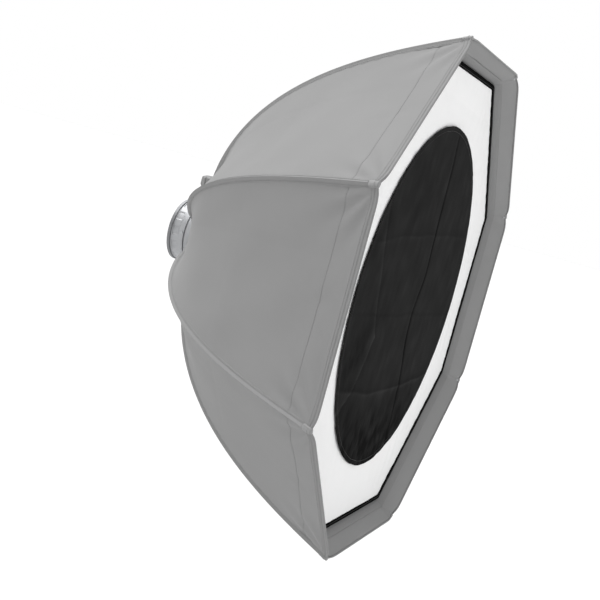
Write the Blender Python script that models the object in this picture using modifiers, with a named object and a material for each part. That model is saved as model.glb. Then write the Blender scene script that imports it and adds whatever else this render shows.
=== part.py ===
"""Octagonal softbox, 0.90 m across its flats, on a turning speedring with a lock knob.

Frame: metres, +Z up. The box's axis is Y. The origin is the centre of the adapter's rear face,
+Y points back towards the flash head, and light leaves the front towards -Y.
"""
import math

import bmesh
import bpy
from mathutils import Matrix, Vector

# ---- driving dimensions -------------------------------------------------------------------
SIDES = 8
ACROSS_FLATS = 0.900                          # front opening, flat to flat
HALF_SIDE_ANGLE = math.pi / SIDES
CORNER_RADIUS = ACROSS_FLATS / 2 / math.cos(HALF_SIDE_ANGLE)
FRONT_Y = -0.5188                             # plane of the front edge

# The seam between two panels, as (radius, distance behind the front edge): a cubic curve.
SEAM_REAR = (0.0912, 0.4647)
SEAM_REAR_HANDLE = (0.3336, 0.4122)
SEAM_FRONT_HANDLE = (0.4307, 0.1515)
SEAM_FRONT = (CORNER_RADIUS, 0.0)

GAP = 0.0004                                  # clearance between pieces that touch
FABRIC = 0.0010                               # thickness of every sewn sheet
SEAM_GAP = 0.0007                             # panel edge to the seam, each side

ROD_RADIUS = 0.0020
ROD_INSET = 0.0050                            # rod axis inside the shell's outer face
SOCKET_INSET = 0.0045                         # the extra inset at the speedring end
SOCKET_MOUTH_T = 0.043                        # where on the seam curve the socket ends
SOCKET_LENGTH = 0.0585
SOCKET_RADIUS = 0.0055
SLEEVE_BORE = 0.0024
SLEEVE_WALL = 0.0007
SLEEVE_START_T = 0.056
ROD_END_T = 0.985                             # where on the seam curve the rod ends
POCKET_T = 0.945                              # where on the seam curve the pocket starts
POCKET_RADIUS = 0.0060
POCKET_GAP = 0.0072                           # panel edge to the seam beside a pocket
POCKET_TIP = 0.0045                           # how far the pocket runs past the rod's end
POCKET_BORE_GAP = 0.0008                      # looser than GAP, so that a bowed rod clears it

BORE_RADIUS = 0.0500                          # for a flash head 100 mm across
LINER_WALL = 0.0012
JOURNAL_RADIUS = 0.0530
RIM_RADIUS = 0.0601
RIM_END = -0.0065
ADAPTER_BAND_RADIUS = 0.0574
ADAPTER_BAND_END = -0.0230
ADAPTER_CHAMFER = 0.0006
JOURNAL_END = -0.0665
RETAINER_WIDTH = 0.0038
RETAINER_THICKNESS = 0.0020
RING_RADIUS = 0.0590
RING_BORE = 0.0548
RING_REAR = -0.0236
RING_FRONT = -0.0618
GROOVE_DEPTH = 0.0035
GROOVE = (-0.0340, -0.0370)

LOCK_Y = -0.0312                              # the knob's axis, parallel to Z
BOSS_RADIUS = 0.0075
BOSS_TOP = 0.0720
BOSS_ROOT = 0.0012                            # how far the boss is sunk into the ring
SHOE_RADIUS = 0.0050
SHOE_TOP = 0.0610
SCREW_RADIUS = 0.0030
SCREW_FOOT = 0.0624
KNOB_FOOT = 0.0880
KNOB_TOP = 0.1150
KNOB_RADIUS = 0.0165
KNOB_DOME = 0.0070                            # height of the domed top
SCREW_SUNK = 0.0120                           # knob's top down to the end of the screw
FLUTES = 10
FLUTE_RADIUS = 0.0030
FLUTE_DEPTH = 0.0014

LIP_REAR = (0.4591, 0.0445)                   # corner radius and depth of the lip's inner end
LIP_FRONT = (0.4815, 0.0010)                  # the same at the front edge
STRIP_DEPTHS = (0.0260, 0.0420)
EDGING_RADIUS = 0.4562                        # corner radius of the diffuser's binding
EDGING_WIDTH = 0.0062
DIFFUSER_DEPTH = 0.0405                       # middle of the sheet, behind the front edge
LIP_WALL = 0.0014
TAPE = 0.0010                                 # thickness of the loop strip and the bindings
DISC_RADIUS = 0.3180
PAD_SIZE = 0.025
PAD_THICKNESS = 0.0009
PAD_RADIUS = 0.290
BAFFLE_DEPTH = 0.2000
BAFFLE_RADIUS = 0.3893                        # corner radius of the inner baffle's binding
BAFFLE_BINDING = 0.0120                       # width of that binding

ROUND_STEPS = 48
SEAM_ROWS = 12

# ---- scene and materials ------------------------------------------------------------------
for old in list(bpy.data.objects):
    bpy.data.objects.remove(old, do_unlink=True)

parts = bpy.data.collections.new("octabox")
cutters = bpy.data.collections.new("cutters")
bpy.context.scene.collection.children.link(parts)
bpy.context.scene.collection.children.link(cutters)


def make_material(name, colour, roughness, metallic=0.0):
    material = bpy.data.materials.new(name)
    material.use_nodes = True
    shader = material.node_tree.nodes["Principled BSDF"]
    shader.inputs["Base Color"].default_value = (*colour, 1.0)
    shader.inputs["Roughness"].default_value = roughness
    shader.inputs["Metallic"].default_value = metallic
    return material


shell_cloth = make_material("shell_cloth", (0.25, 0.25, 0.25), 0.8)
lip_cloth = make_material("lip_cloth", (0.22, 0.22, 0.22), 0.85)
white_cloth = make_material("white_cloth", (0.90, 0.90, 0.90), 0.8)
black_cloth = make_material("black_cloth", (0.02, 0.02, 0.02), 0.85)
binding_tape = make_material("binding_tape", (0.01, 0.01, 0.01), 0.7)
spring_steel = make_material("spring_steel", (0.55, 0.56, 0.58), 0.35, 1.0)
ring_metal = make_material("ring_metal", (0.33, 0.33, 0.34), 0.3, 0.9)
dark_plastic = make_material("dark_plastic", (0.14, 0.14, 0.14), 0.5)
acetal = make_material("acetal", (0.75, 0.75, 0.72), 0.4)
rubber = make_material("rubber", (0.03, 0.03, 0.03), 0.9)


def place(obj, material, parent=None, collection=parts):
    """Put a new object in its collection, under its parent, with its material."""
    for old in list(obj.users_collection):
        old.objects.unlink(obj)
    collection.objects.link(obj)
    obj.parent = parent
    if material:
        obj.data.materials.append(material)
    return obj


def mesh_object(name, bm, material, parent=None, collection=parts):
    mesh = bpy.data.meshes.new(name)
    bm.to_mesh(mesh)
    bm.free()
    return place(bpy.data.objects.new(name, mesh), material, parent, collection)


def as_cutter(obj):
    obj.hide_render = True
    obj.display_type = "WIRE"
    return obj


def boolean(obj, cutter, operation):
    modifier = obj.modifiers.new(operation.lower(), "BOOLEAN")
    modifier.operation = operation
    modifier.object = cutter
    return modifier


def joint_empty(name, location, parent=None):
    """An empty at a place in the world, on the axis that its children move about or along."""
    empty = bpy.data.objects.new(name, None)
    empty.parent = parent
    empty.location = Vector(location) - (parent.matrix_world.translation if parent else Vector())
    empty.empty_display_size = 0.03
    parts.objects.link(empty)
    bpy.context.view_layer.update()
    return empty


# ---- the curves that the softbox follows ------------------------------------------------------
def seam_point(t):
    """Point (radius, y) of the shell's outer seam, t running from the speedring to the front."""
    weights = ((1 - t) ** 3, 3 * t * (1 - t) ** 2, 3 * t * t * (1 - t), t ** 3)
    knots = (SEAM_REAR, SEAM_REAR_HANDLE, SEAM_FRONT_HANDLE, SEAM_FRONT)
    radius = sum(w * k[0] for w, k in zip(weights, knots))
    depth = sum(w * k[1] for w, k in zip(weights, knots))
    return Vector((radius, FRONT_Y + depth))


def seam_direction(t):
    step = 1e-4
    return (seam_point(t + step) - seam_point(t - step)).normalized()


def rod_point(t):
    """Point (radius, y) of a rod's axis: the seam, moved inwards along its own normal."""
    direction = seam_direction(t)
    inwards = Vector((direction.y, -direction.x))
    return seam_point(t) + inwards * (ROD_INSET + SOCKET_INSET * (1 - t) ** 3)


def seam_parameters(start, end, count):
    return [start + (end - start) * i / (count - 1) for i in range(count)]


socket_mouth = rod_point(SOCKET_MOUTH_T)
socket_direction = (rod_point(SOCKET_MOUTH_T + 0.002) - socket_mouth).normalized()
rod_tip = rod_point(ROD_END_T)
rod_end_direction = (rod_tip - rod_point(ROD_END_T - 0.02)).normalized()
pocket_length = (rod_tip - rod_point(POCKET_T)).length


def sleeve_rows():
    """Seam parameters along a sleeve, which its rod shares so that the two stay concentric."""
    return seam_parameters(SLEEVE_START_T, POCKET_T - 0.004, SEAM_ROWS)


def seam_angle(index):
    return (index + 0.5) * 2 * HALF_SIDE_ANGLE


def turned(point, angle):
    """A (radius, y) point carried round the box's axis to an angle measured from +X."""
    return Vector((point.x * math.cos(angle), point.y, point.x * math.sin(angle)))


def frame_along(start, direction, angle):
    """A matrix whose Z axis runs along a (radius, y) direction at an angle round the axis."""
    z_axis = turned(direction, angle)
    x_axis = Vector((-math.sin(angle), 0.0, math.cos(angle)))
    y_axis = z_axis.cross(x_axis)
    matrix = Matrix((x_axis, y_axis, z_axis)).transposed().to_4x4()
    matrix.translation = turned(start, angle)
    return matrix


# ---- builders -----------------------------------------------------------------------------------
def lathe(name, outline, material, matrix, steps=ROUND_STEPS, closed=True, parent=None, collection=parts):
    """Turn an outline of (radius, height) points about its own Z axis.

    The outline runs down its outer side. A closed one makes a ring; an open one starts and ends
    on the axis and makes a solid.
    """
    bm = bmesh.new()
    points = [bm.verts.new((radius, 0.0, height)) for radius, height in outline]
    pairs = list(zip(points, points[1:]))
    if closed:
        pairs.append((points[-1], points[0]))
    for pair in pairs:
        bm.edges.new(pair)
    obj = mesh_object(name, bm, material, parent, collection)
    obj.matrix_world = matrix
    screw = obj.modifiers.new("turn", "SCREW")
    screw.steps = steps
    screw.render_steps = steps
    screw.use_merge_vertices = True
    screw.merge_threshold = 0.00001
    screw.use_smooth_shade = steps > SIDES
    return obj


ALONG_Y = Matrix.Rotation(-math.pi / 2, 4, "X")
OCTAGON = ALONG_Y @ Matrix.Rotation(HALF_SIDE_ANGLE, 4, "Z")


def octagon_ring(name, outline, material, parent=None):
    """An eight-sided ring from an outline of (corner radius, depth behind the front edge)."""
    heights = [(radius, FRONT_Y + depth) for radius, depth in outline]
    return lathe(name, heights, material, OCTAGON, steps=SIDES, parent=parent)


def plate(name, radius, depth, thickness, material, sides=SIDES, parent=None):
    """A flat sheet across the box: an octagon, or a disc when it has many sides."""
    bm = bmesh.new()
    bmesh.ops.create_cone(bm, cap_ends=True, segments=sides, radius1=radius, radius2=radius,
                          depth=thickness)
    obj = mesh_object(name, bm, material, parent)
    spin = Matrix.Rotation(HALF_SIDE_ANGLE, 4, "Z") if sides == SIDES else Matrix.Identity(4)
    obj.matrix_world = Matrix.Translation((0, FRONT_Y + depth, 0)) @ ALONG_Y @ spin
    return obj


def cylinder(name, radius, bottom, top, centre_y, material=None, steps=24, collection=parts, parent=None):
    """An upright cylinder on the lock's axis."""
    bm = bmesh.new()
    bmesh.ops.create_cone(bm, cap_ends=True, segments=steps, radius1=radius, radius2=radius,
                          depth=top - bottom)
    obj = mesh_object(name, bm, material, parent, collection)
    obj.matrix_world = Matrix.Translation((0, centre_y, (bottom + top) / 2))
    return obj


def swept(name, points, radius, material, caps, resolution):
    curve = bpy.data.curves.new(name, "CURVE")
    curve.dimensions = "3D"
    curve.bevel_depth = radius
    curve.bevel_resolution = resolution
    curve.use_fill_caps = caps
    spline = curve.splines.new("POLY")
    spline.points.add(len(points) - 1)
    for target, point in zip(spline.points, points):
        target.co = (*point, 1.0)
    return place(bpy.data.objects.new(name, curve), material)


# ---- adapter: the fixed ring that goes on the flash head ------------------------------------------
adapter_axis = joint_empty("box_rotation_axis", (0, 0, 0))


def make_adapter():
    bore = BORE_RADIUS + LINER_WALL + GAP
    chamfer = ADAPTER_CHAMFER
    stop = 0.0030                                 # depth of the ledge that keeps the liner in
    lathe("adapter_ring", [
        (RIM_RADIUS - 2 * chamfer, 0.0), (RIM_RADIUS, -2 * chamfer), (RIM_RADIUS, RIM_END + chamfer),
        (RIM_RADIUS - chamfer, RIM_END), (ADAPTER_BAND_RADIUS, RIM_END),
        (ADAPTER_BAND_RADIUS, ADAPTER_BAND_END + chamfer), (ADAPTER_BAND_RADIUS - chamfer, ADAPTER_BAND_END),
        (JOURNAL_RADIUS, ADAPTER_BAND_END), (JOURNAL_RADIUS, JOURNAL_END), (bore, JOURNAL_END),
        (bore, -stop), (BORE_RADIUS + GAP, chamfer - stop), (BORE_RADIUS + GAP, 0.0),
    ], ring_metal, ALONG_Y)
    liner_rear = -stop - GAP
    liner_front = JOURNAL_END + 0.002
    lathe("grip_sleeve", [
        (bore - GAP, liner_rear), (bore - GAP, liner_front), (BORE_RADIUS, liner_front),
        (BORE_RADIUS, liner_rear),
    ], rubber, ALONG_Y)
    inner = JOURNAL_RADIUS + GAP
    rear = RING_FRONT - GAP
    lathe("retaining_ring", [
        (inner + RETAINER_WIDTH, rear), (inner + RETAINER_WIDTH, rear - RETAINER_THICKNESS),
        (inner, rear - RETAINER_THICKNESS), (inner, rear),
    ], spring_steel, ALONG_Y)


# ---- speedring: turns on the adapter and carries the rods ------------------------------------------
def make_speedring():
    body = lathe("speedring_body", [
        (RING_RADIUS - ADAPTER_CHAMFER, RING_REAR), (RING_RADIUS, RING_REAR - ADAPTER_CHAMFER),
        (RING_RADIUS, GROOVE[0]),
        (RING_RADIUS - GROOVE_DEPTH, GROOVE[0]), (RING_RADIUS - GROOVE_DEPTH, GROOVE[1]),
        (RING_RADIUS, GROOVE[1]), (RING_RADIUS, RING_FRONT), (RING_BORE, RING_FRONT),
        (RING_BORE, RING_REAR),
    ], ring_metal, ALONG_Y, parent=adapter_axis)
    past = 0.004                                  # how far a cutter runs beyond what it cuts
    boss = as_cutter(cylinder("boss_shape", BOSS_RADIUS, RING_RADIUS - BOSS_ROOT, BOSS_TOP, LOCK_Y,
                              collection=cutters))
    shoe_bore = as_cutter(cylinder("shoe_bore", SHOE_RADIUS + GAP, RING_BORE - past, SCREW_FOOT + 0.002,
                                   LOCK_Y, collection=cutters))
    screw_bore = as_cutter(cylinder("screw_bore", SCREW_RADIUS + GAP, SHOE_TOP, BOSS_TOP + past,
                                    LOCK_Y, collection=cutters))
    boolean(body, boss, "UNION")
    boolean(body, shoe_bore, "DIFFERENCE")
    boolean(body, screw_bore, "DIFFERENCE")
    lathe("glide_ring", [
        (RING_BORE - GAP, GROOVE[1]), (RING_BORE - GAP, RING_FRONT), (JOURNAL_RADIUS + GAP, RING_FRONT),
        (JOURNAL_RADIUS + GAP, GROOVE[1]),
    ], acetal, ALONG_Y, parent=adapter_axis)


def make_sockets():
    """A tube for each rod, with a flange on the speedring and a rolled mouth."""
    bore = ROD_RADIUS + GAP
    tube = SOCKET_RADIUS - 0.0008
    flange = SOCKET_RADIUS + 0.0015
    outline = [
        (bore, 0.0), (SOCKET_RADIUS - 0.0010, 0.0), (SOCKET_RADIUS, -0.0012), (SOCKET_RADIUS, -0.004),
        (tube, -0.005), (tube, -SOCKET_LENGTH + 0.004), (flange, -SOCKET_LENGTH + 0.003),
        (flange, -SOCKET_LENGTH), (bore, -SOCKET_LENGTH),
    ]
    for index in range(SIDES):
        matrix = frame_along(socket_mouth, socket_direction, seam_angle(index))
        lathe(f"rod_socket_{index + 1}", outline, dark_plastic, matrix, steps=16, parent=adapter_axis)


def make_rods():
    """Spring rods, straight in the socket and bowed along the seam to the corner pocket."""
    for index in range(SIDES):
        angle = seam_angle(index)
        inner = socket_mouth - socket_direction * (SOCKET_LENGTH - 0.002)
        bowed = [rod_point(t) for t in [SOCKET_MOUTH_T] + sleeve_rows() + [ROD_END_T]]
        path = [turned(point, angle) for point in [inner] + bowed]
        swept(f"rod_{index + 1}", path, ROD_RADIUS, spring_steel, True, 1).parent = adapter_axis


def make_sleeves():
    """Fabric tubes sewn inside the seams, open at both ends."""
    for index in range(SIDES):
        angle = seam_angle(index)
        path = [turned(rod_point(t), angle) for t in sleeve_rows()]
        sleeve = swept(f"rod_sleeve_{index + 1}", path, SLEEVE_BORE + SLEEVE_WALL, shell_cloth, False, 2)
        sleeve.parent = adapter_axis
        wall = sleeve.modifiers.new("wall", "SOLIDIFY")
        wall.thickness = SLEEVE_WALL
        wall.offset = -1.0


def make_pockets():
    """Reinforced cups over the rods' front ends, one at each corner."""
    bore = ROD_RADIUS + POCKET_BORE_GAP
    tip = POCKET_TIP
    outline = [
        (0.0, tip), (POCKET_RADIUS * 0.55, tip - 0.0006), (POCKET_RADIUS * 0.88, tip - 0.0022),
        (POCKET_RADIUS, tip - 0.0050), (POCKET_RADIUS, FABRIC * 2 - pocket_length),
        (POCKET_RADIUS - FABRIC, -pocket_length), (bore, -pocket_length), (bore, GAP), (0.0, GAP),
    ]
    for index in range(SIDES):
        matrix = frame_along(rod_tip, rod_end_direction, seam_angle(index))
        lathe(f"corner_pocket_{index + 1}", outline, shell_cloth, matrix, steps=12, closed=False,
              parent=adapter_axis)


def make_panels():
    """Eight fabric gores, each straight across from seam to seam and curved front to back."""
    rows = seam_parameters(0.0, POCKET_T - 0.006, SEAM_ROWS) + [POCKET_T - 0.004, 1.0]
    for index in range(SIDES):
        bm = bmesh.new()
        bmesh.ops.create_grid(bm, x_segments=1, y_segments=len(rows) - 1, size=1.0)
        bm.verts.ensure_lookup_table()
        ordered = sorted(bm.verts, key=lambda v: (round(v.co.y, 4), v.co.x))
        for row, t in enumerate(rows):
            point = seam_point(t)
            edge = SEAM_GAP if t < POCKET_T - 0.005 else POCKET_GAP
            half_width = point.x * math.sin(HALF_SIDE_ANGLE) - edge
            height = point.x * math.cos(HALF_SIDE_ANGLE)
            ordered[2 * row].co = (-half_width, point.y, height)
            ordered[2 * row + 1].co = (half_width, point.y, height)
        bmesh.ops.recalc_face_normals(bm, faces=bm.faces)
        outwards = Vector((0.0, 0.0, 1.0))
        if sum((face.normal for face in bm.faces), Vector()).dot(outwards) < 0:
            bmesh.ops.reverse_faces(bm, faces=bm.faces)
        panel = mesh_object(f"shell_panel_{index + 1}", bm, shell_cloth, adapter_axis)
        panel.matrix_world = Matrix.Rotation(-index * 2 * HALF_SIDE_ANGLE, 4, "Y")
        sheet = panel.modifiers.new("sheet", "SOLIDIFY")
        sheet.thickness = FABRIC
        sheet.offset = -1.0


def make_rear_cuff():
    """The collar that closes the gap between the gores and the speedring."""
    slope = socket_direction.y / socket_direction.x
    rise = (SOCKET_RADIUS + 0.0018) / socket_direction.x

    def behind_sockets(radius):
        return socket_mouth.y + (radius - socket_mouth.x) * slope + rise

    outer = SEAM_REAR[0] - 0.0015
    inner = (RING_RADIUS + 0.0010) / math.cos(HALF_SIDE_ANGLE)
    lathe("rear_cuff", [
        (inner, behind_sockets(inner) + FABRIC), (outer, behind_sockets(outer) + FABRIC),
        (outer, behind_sockets(outer)), (inner, behind_sockets(inner)),
    ], shell_cloth, OCTAGON, steps=SIDES, parent=adapter_axis)


# ---- front lip and its hook-and-loop tape -----------------------------------------------------------
def lip_radius(depth):
    """Corner radius of the lip's outer face at a depth behind the front edge."""
    share = (depth - LIP_FRONT[1]) / (LIP_REAR[1] - LIP_FRONT[1])
    return LIP_FRONT[0] + share * (LIP_REAR[0] - LIP_FRONT[0])


def make_front_lip():
    front, rear = LIP_FRONT[1], LIP_REAR[1]
    lip = octagon_ring("front_lip", [
        (lip_radius(rear), rear), (lip_radius(front), front),
        (lip_radius(front) - LIP_WALL, front), (lip_radius(rear) - LIP_WALL, rear),
    ], lip_cloth, adapter_axis)
    length = pocket_length + 0.002
    past = 0.020
    notch_radius = POCKET_RADIUS + 1.5 * GAP
    for index in range(SIDES):
        matrix = frame_along(rod_tip, rod_end_direction, seam_angle(index))
        bm = bmesh.new()
        bmesh.ops.create_cone(bm, cap_ends=True, segments=16, radius1=notch_radius,
                              radius2=notch_radius, depth=length + past)
        notch = mesh_object(f"pocket_notch_{index + 1}", bm, None, None, cutters)
        notch.matrix_world = matrix @ Matrix.Translation((0, 0, (past - length) / 2))
        boolean(lip, as_cutter(notch), "DIFFERENCE")
    front, rear = STRIP_DEPTHS
    inner = LIP_WALL + GAP
    octagon_ring("loop_strip", [
        (lip_radius(rear) - inner, rear), (lip_radius(front) - inner, front),
        (lip_radius(front) - inner - TAPE, front), (lip_radius(rear) - inner - TAPE, rear),
    ], lip_cloth, adapter_axis)


# ---- sheets across the box ---------------------------------------------------------------------------
def bound_sheet(sheet_name, edging_name, corner, depth, material, edging_width, parent):
    """A taut octagonal sheet with a folded binding round its edge."""
    inside = FABRIC / 2 + GAP
    outside = inside + TAPE
    back = corner - TAPE
    leg = corner - edging_width
    octagon_ring(edging_name, [
        (corner, depth + outside), (corner, depth - outside), (leg, depth - outside),
        (leg, depth - inside), (back, depth - inside), (back, depth + inside),
        (leg, depth + inside), (leg, depth + outside),
    ], binding_tape, parent)
    plate(sheet_name, back - GAP, depth, FABRIC, material, parent=parent)


def make_baffle():
    bound_sheet("inner_baffle", "baffle_edging", BAFFLE_RADIUS, BAFFLE_DEPTH, white_cloth,
                BAFFLE_BINDING, adapter_axis)


def make_diffuser():
    axis = joint_empty("diffuser_release_axis", (0, FRONT_Y + DIFFUSER_DEPTH, 0), adapter_axis)
    bound_sheet("front_diffuser", "diffuser_edging", EDGING_RADIUS, DIFFUSER_DEPTH, white_cloth,
                EDGING_WIDTH, axis)
    return axis


def make_disc(diffuser_axis):
    pad_depth = DIFFUSER_DEPTH - FABRIC / 2 - GAP - PAD_THICKNESS / 2
    disc_depth = pad_depth - PAD_THICKNESS / 2 - GAP - FABRIC / 2
    axis = joint_empty("disc_release_axis", (0, FRONT_Y + disc_depth, 0), diffuser_axis)
    plate("centre_disc", DISC_RADIUS, disc_depth, FABRIC, black_cloth, sides=64, parent=axis)
    for index in range(4):
        angle = index * math.pi / 2
        bm = bmesh.new()
        bmesh.ops.create_cube(bm, size=1.0)
        bmesh.ops.scale(bm, vec=(PAD_SIZE, PAD_THICKNESS, PAD_SIZE), verts=bm.verts)
        tab = mesh_object(f"disc_pad_{index + 1}", bm, binding_tape, axis)
        tab.matrix_world = Matrix.Translation(
            (PAD_RADIUS * math.cos(angle), FRONT_Y + pad_depth, PAD_RADIUS * math.sin(angle)))


# ---- lock: a knob, its screw and the shoe that it drives -------------------------------------------
def make_lock():
    axis = joint_empty("knob_turn_axis", (0, LOCK_Y, 0), adapter_axis)
    upright = Matrix.Translation((0, LOCK_Y, 0))
    quarter = [math.pi / 2 * step / 5 for step in range(6)]
    dome = [(KNOB_RADIUS * math.sin(a), KNOB_TOP - KNOB_DOME * (1 - math.cos(a))) for a in quarter]
    seat = KNOB_TOP - SCREW_SUNK
    taper = 0.0030
    knob = lathe("lock_knob", dome + [
        (KNOB_RADIUS, KNOB_FOOT + 2.5 * taper), (KNOB_RADIUS - taper, KNOB_FOOT + taper),
        (KNOB_RADIUS - 2 * taper, KNOB_FOOT), (SCREW_RADIUS + GAP, KNOB_FOOT), (SCREW_RADIUS + GAP, seat),
        (0.0, seat),
    ], dark_plastic, upright, steps=40, closed=False, parent=axis)
    reach = KNOB_RADIUS + FLUTE_RADIUS - FLUTE_DEPTH
    for index in range(FLUTES):
        angle = index * 2 * math.pi / FLUTES
        flute = cylinder(f"flute_{index + 1}", FLUTE_RADIUS, KNOB_FOOT - taper, KNOB_TOP + taper, LOCK_Y,
                         steps=12, collection=cutters)
        flute.matrix_world = Matrix.Translation(
            (reach * math.cos(angle), reach * math.sin(angle), 0)) @ flute.matrix_world
        boolean(knob, as_cutter(flute), "DIFFERENCE")
    cylinder("lock_screw", SCREW_RADIUS, SCREW_FOOT, seat - GAP, LOCK_Y, spring_steel, 16, parent=axis)
    shoe_axis = joint_empty("shoe_slide_axis", (0, LOCK_Y, 0), adapter_axis)
    cylinder("brake_shoe", SHOE_RADIUS, JOURNAL_RADIUS + GAP, SHOE_TOP, LOCK_Y, acetal, 20,
             parent=shoe_axis)


make_adapter()
make_speedring()
make_sockets()
make_rods()
make_sleeves()
make_pockets()
make_panels()
make_rear_cuff()
make_front_lip()
make_baffle()
make_disc(make_diffuser())
make_lock()
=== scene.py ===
import math

import bmesh
import bpy
import numpy as np
from mathutils import Matrix, Vector


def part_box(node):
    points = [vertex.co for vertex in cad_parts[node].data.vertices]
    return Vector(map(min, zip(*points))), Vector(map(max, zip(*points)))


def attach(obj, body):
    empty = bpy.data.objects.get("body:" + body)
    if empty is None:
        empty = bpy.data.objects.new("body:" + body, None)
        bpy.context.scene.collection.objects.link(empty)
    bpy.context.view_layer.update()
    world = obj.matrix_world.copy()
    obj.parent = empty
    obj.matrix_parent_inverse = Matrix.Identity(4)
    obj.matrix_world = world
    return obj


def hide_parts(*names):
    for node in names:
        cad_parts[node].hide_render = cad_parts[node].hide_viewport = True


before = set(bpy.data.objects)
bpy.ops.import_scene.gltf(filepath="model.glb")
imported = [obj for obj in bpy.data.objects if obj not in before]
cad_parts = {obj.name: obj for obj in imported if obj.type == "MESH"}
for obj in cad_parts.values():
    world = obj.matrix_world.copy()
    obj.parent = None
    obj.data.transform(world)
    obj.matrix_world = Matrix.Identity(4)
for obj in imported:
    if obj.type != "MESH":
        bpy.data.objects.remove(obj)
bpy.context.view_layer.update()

sides = 8
halfSide = math.pi / sides            # half the angle that one side of the octagon takes
mm = 0.001

# Places that the frame gives.
panelLow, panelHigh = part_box("shell_panel_1")
frontY = panelLow.y                                       # plane of the front edge
rearY = panelHigh.y                                       # rear edge of the gores
frontRadius = panelHigh.z / math.cos(halfSide)            # seam radius at the front edge
rearRadius = panelLow.z / math.cos(halfSide)              # seam radius at the rear edge


# Numbers and arrays that several pieces share.
def linear(hexColour):
    parts = [int(hexColour[i:i + 2], 16) / 255 for i in (1, 3, 5)]
    return tuple(c / 12.92 if c <= 0.04045 else ((c + 0.055) / 1.055) ** 2.4 for c in parts) + (1.0,)


def unit(vectors):
    return vectors / np.maximum(np.linalg.norm(vectors, axis=-1, keepdims=True), 1e-12)


def lengthsAlong(points):
    # the distance travelled at each point of a line
    return np.concatenate([[0], np.cumsum(np.linalg.norm(np.diff(points, axis=0), axis=1))])


def evenAngles(count):
    return np.linspace(0, 2 * math.pi, count, endpoint=False)


def bell(distance, width):
    return np.exp(-(distance / width) ** 2)


def crease(distance, width):
    # a sharp fold with soft shoulders
    return np.exp(-np.abs(distance) / width)


def waveField(x, z, wavelength, seed, count=9):
    # a smooth random field, about -1 to 1, from a few plane waves
    x, z = np.broadcast_arrays(x, z)
    draw = np.random.default_rng(seed)
    total = np.zeros(x.shape)
    for angle, phase, stretch in draw.random((count, 3)):
        k = 2 * math.pi / (wavelength * (0.65 + 0.9 * stretch))
        turn = math.pi * angle
        total += np.cos(k * (x * math.cos(turn) + z * math.sin(turn)) + 2 * math.pi * phase)
    return total / math.sqrt(count)


def softStep(value, start, end):
    share = np.clip((value - start) / (end - start), 0, 1)
    return share * share * (3 - 2 * share)


def turnAboutY(points, angle):
    # angle grows from +X towards +Z
    c, s = math.cos(angle), math.sin(angle)
    x, y, z = points[..., 0], points[..., 1], points[..., 2]
    return np.stack([x * c - z * s, y, x * s + z * c], axis=-1)


# Mesh builders.
def finishMesh(name, vertices, faces, materials, body, uvs=None, closed=False, sharp=0.7):
    mesh = bpy.data.meshes.new(name)
    mesh.from_pydata(np.asarray(vertices).reshape(-1, 3).tolist(), [], faces)
    if uvs is not None:
        layer = mesh.uv_layers.new(name="UVMap")
        layer.data.foreach_set("uv", np.asarray(uvs, np.float32).ravel())
    if closed:
        bm = bmesh.new()
        bm.from_mesh(mesh)
        bmesh.ops.recalc_face_normals(bm, faces=bm.faces)
        bm.to_mesh(mesh)
        bm.free()
    mesh.shade_smooth()
    mesh.set_sharp_from_angle(angle=sharp)
    for material in materials if isinstance(materials, (list, tuple)) else [materials]:
        mesh.materials.append(material)
    piece = bpy.data.objects.new(name, mesh)
    bpy.context.scene.collection.objects.link(piece)
    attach(piece, body)
    return piece


def gridMesh(name, points, materials, body, around=False, along=False, caps=False, closed=False, sharp=0.7):
    # a net of quads over points[row, column]; around joins the columns up, along joins the rows up,
    # caps closes both ends, and the UV map is in metres
    rows, columns = points.shape[:2]
    r = np.arange(rows if along else rows - 1)[:, None]
    c = np.arange(columns if around else columns - 1)[None, :]
    r2, c2 = (r + 1) % rows, (c + 1) % columns
    quads = np.stack([r * columns + c, r * columns + c2, r2 * columns + c2, r2 * columns + c], axis=-1)
    faces = quads.reshape(-1, 4).tolist()
    uv = measuredUv(points, around, along)
    uvs = np.stack([uv[r, c], uv[r, c + 1], uv[r + 1, c + 1], uv[r + 1, c]], axis=2).reshape(-1, 2)
    if caps:
        faces += [list(range(columns))[::-1], [(rows - 1) * columns + i for i in range(columns)]]
        uvs = np.concatenate([uvs, uv[0, :columns][::-1], uv[-1, :columns]])
    return finishMesh(name, points, faces, materials, body, uvs, closed or caps, sharp)


def addCloth(piece, thickness):
    # gives a sheet the thickness of its cloth, behind its face
    sheet = piece.modifiers.new("cloth", "SOLIDIFY")
    sheet.thickness = thickness
    sheet.offset = -1.0
    return sheet


def faceTowards(piece, direction):
    # turns a sheet's faces over if the middle one looks the wrong way
    middle = piece.data.polygons[len(piece.data.polygons) // 2]
    if np.dot(np.array(middle.normal), direction) < 0:
        piece.data.flip_normals()


def measuredUv(points, around, along):
    # UV in metres along each direction, so that a weave keeps its real size
    wide = np.concatenate([points, points[:, :1]], axis=1) if around else points
    tall = np.concatenate([wide, wide[:1]], axis=0) if along else wide
    stepU = np.linalg.norm(np.diff(tall, axis=1), axis=-1).mean(axis=0)
    stepV = np.linalg.norm(np.diff(tall, axis=0), axis=-1).mean(axis=1)
    u = np.concatenate([[0], np.cumsum(stepU)])
    v = np.concatenate([[0], np.cumsum(stepV)])
    return np.stack(np.meshgrid(u, v), axis=-1)


def normalsOf(points):
    return unit(np.cross(np.gradient(points, axis=1), np.gradient(points, axis=0)))


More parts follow.
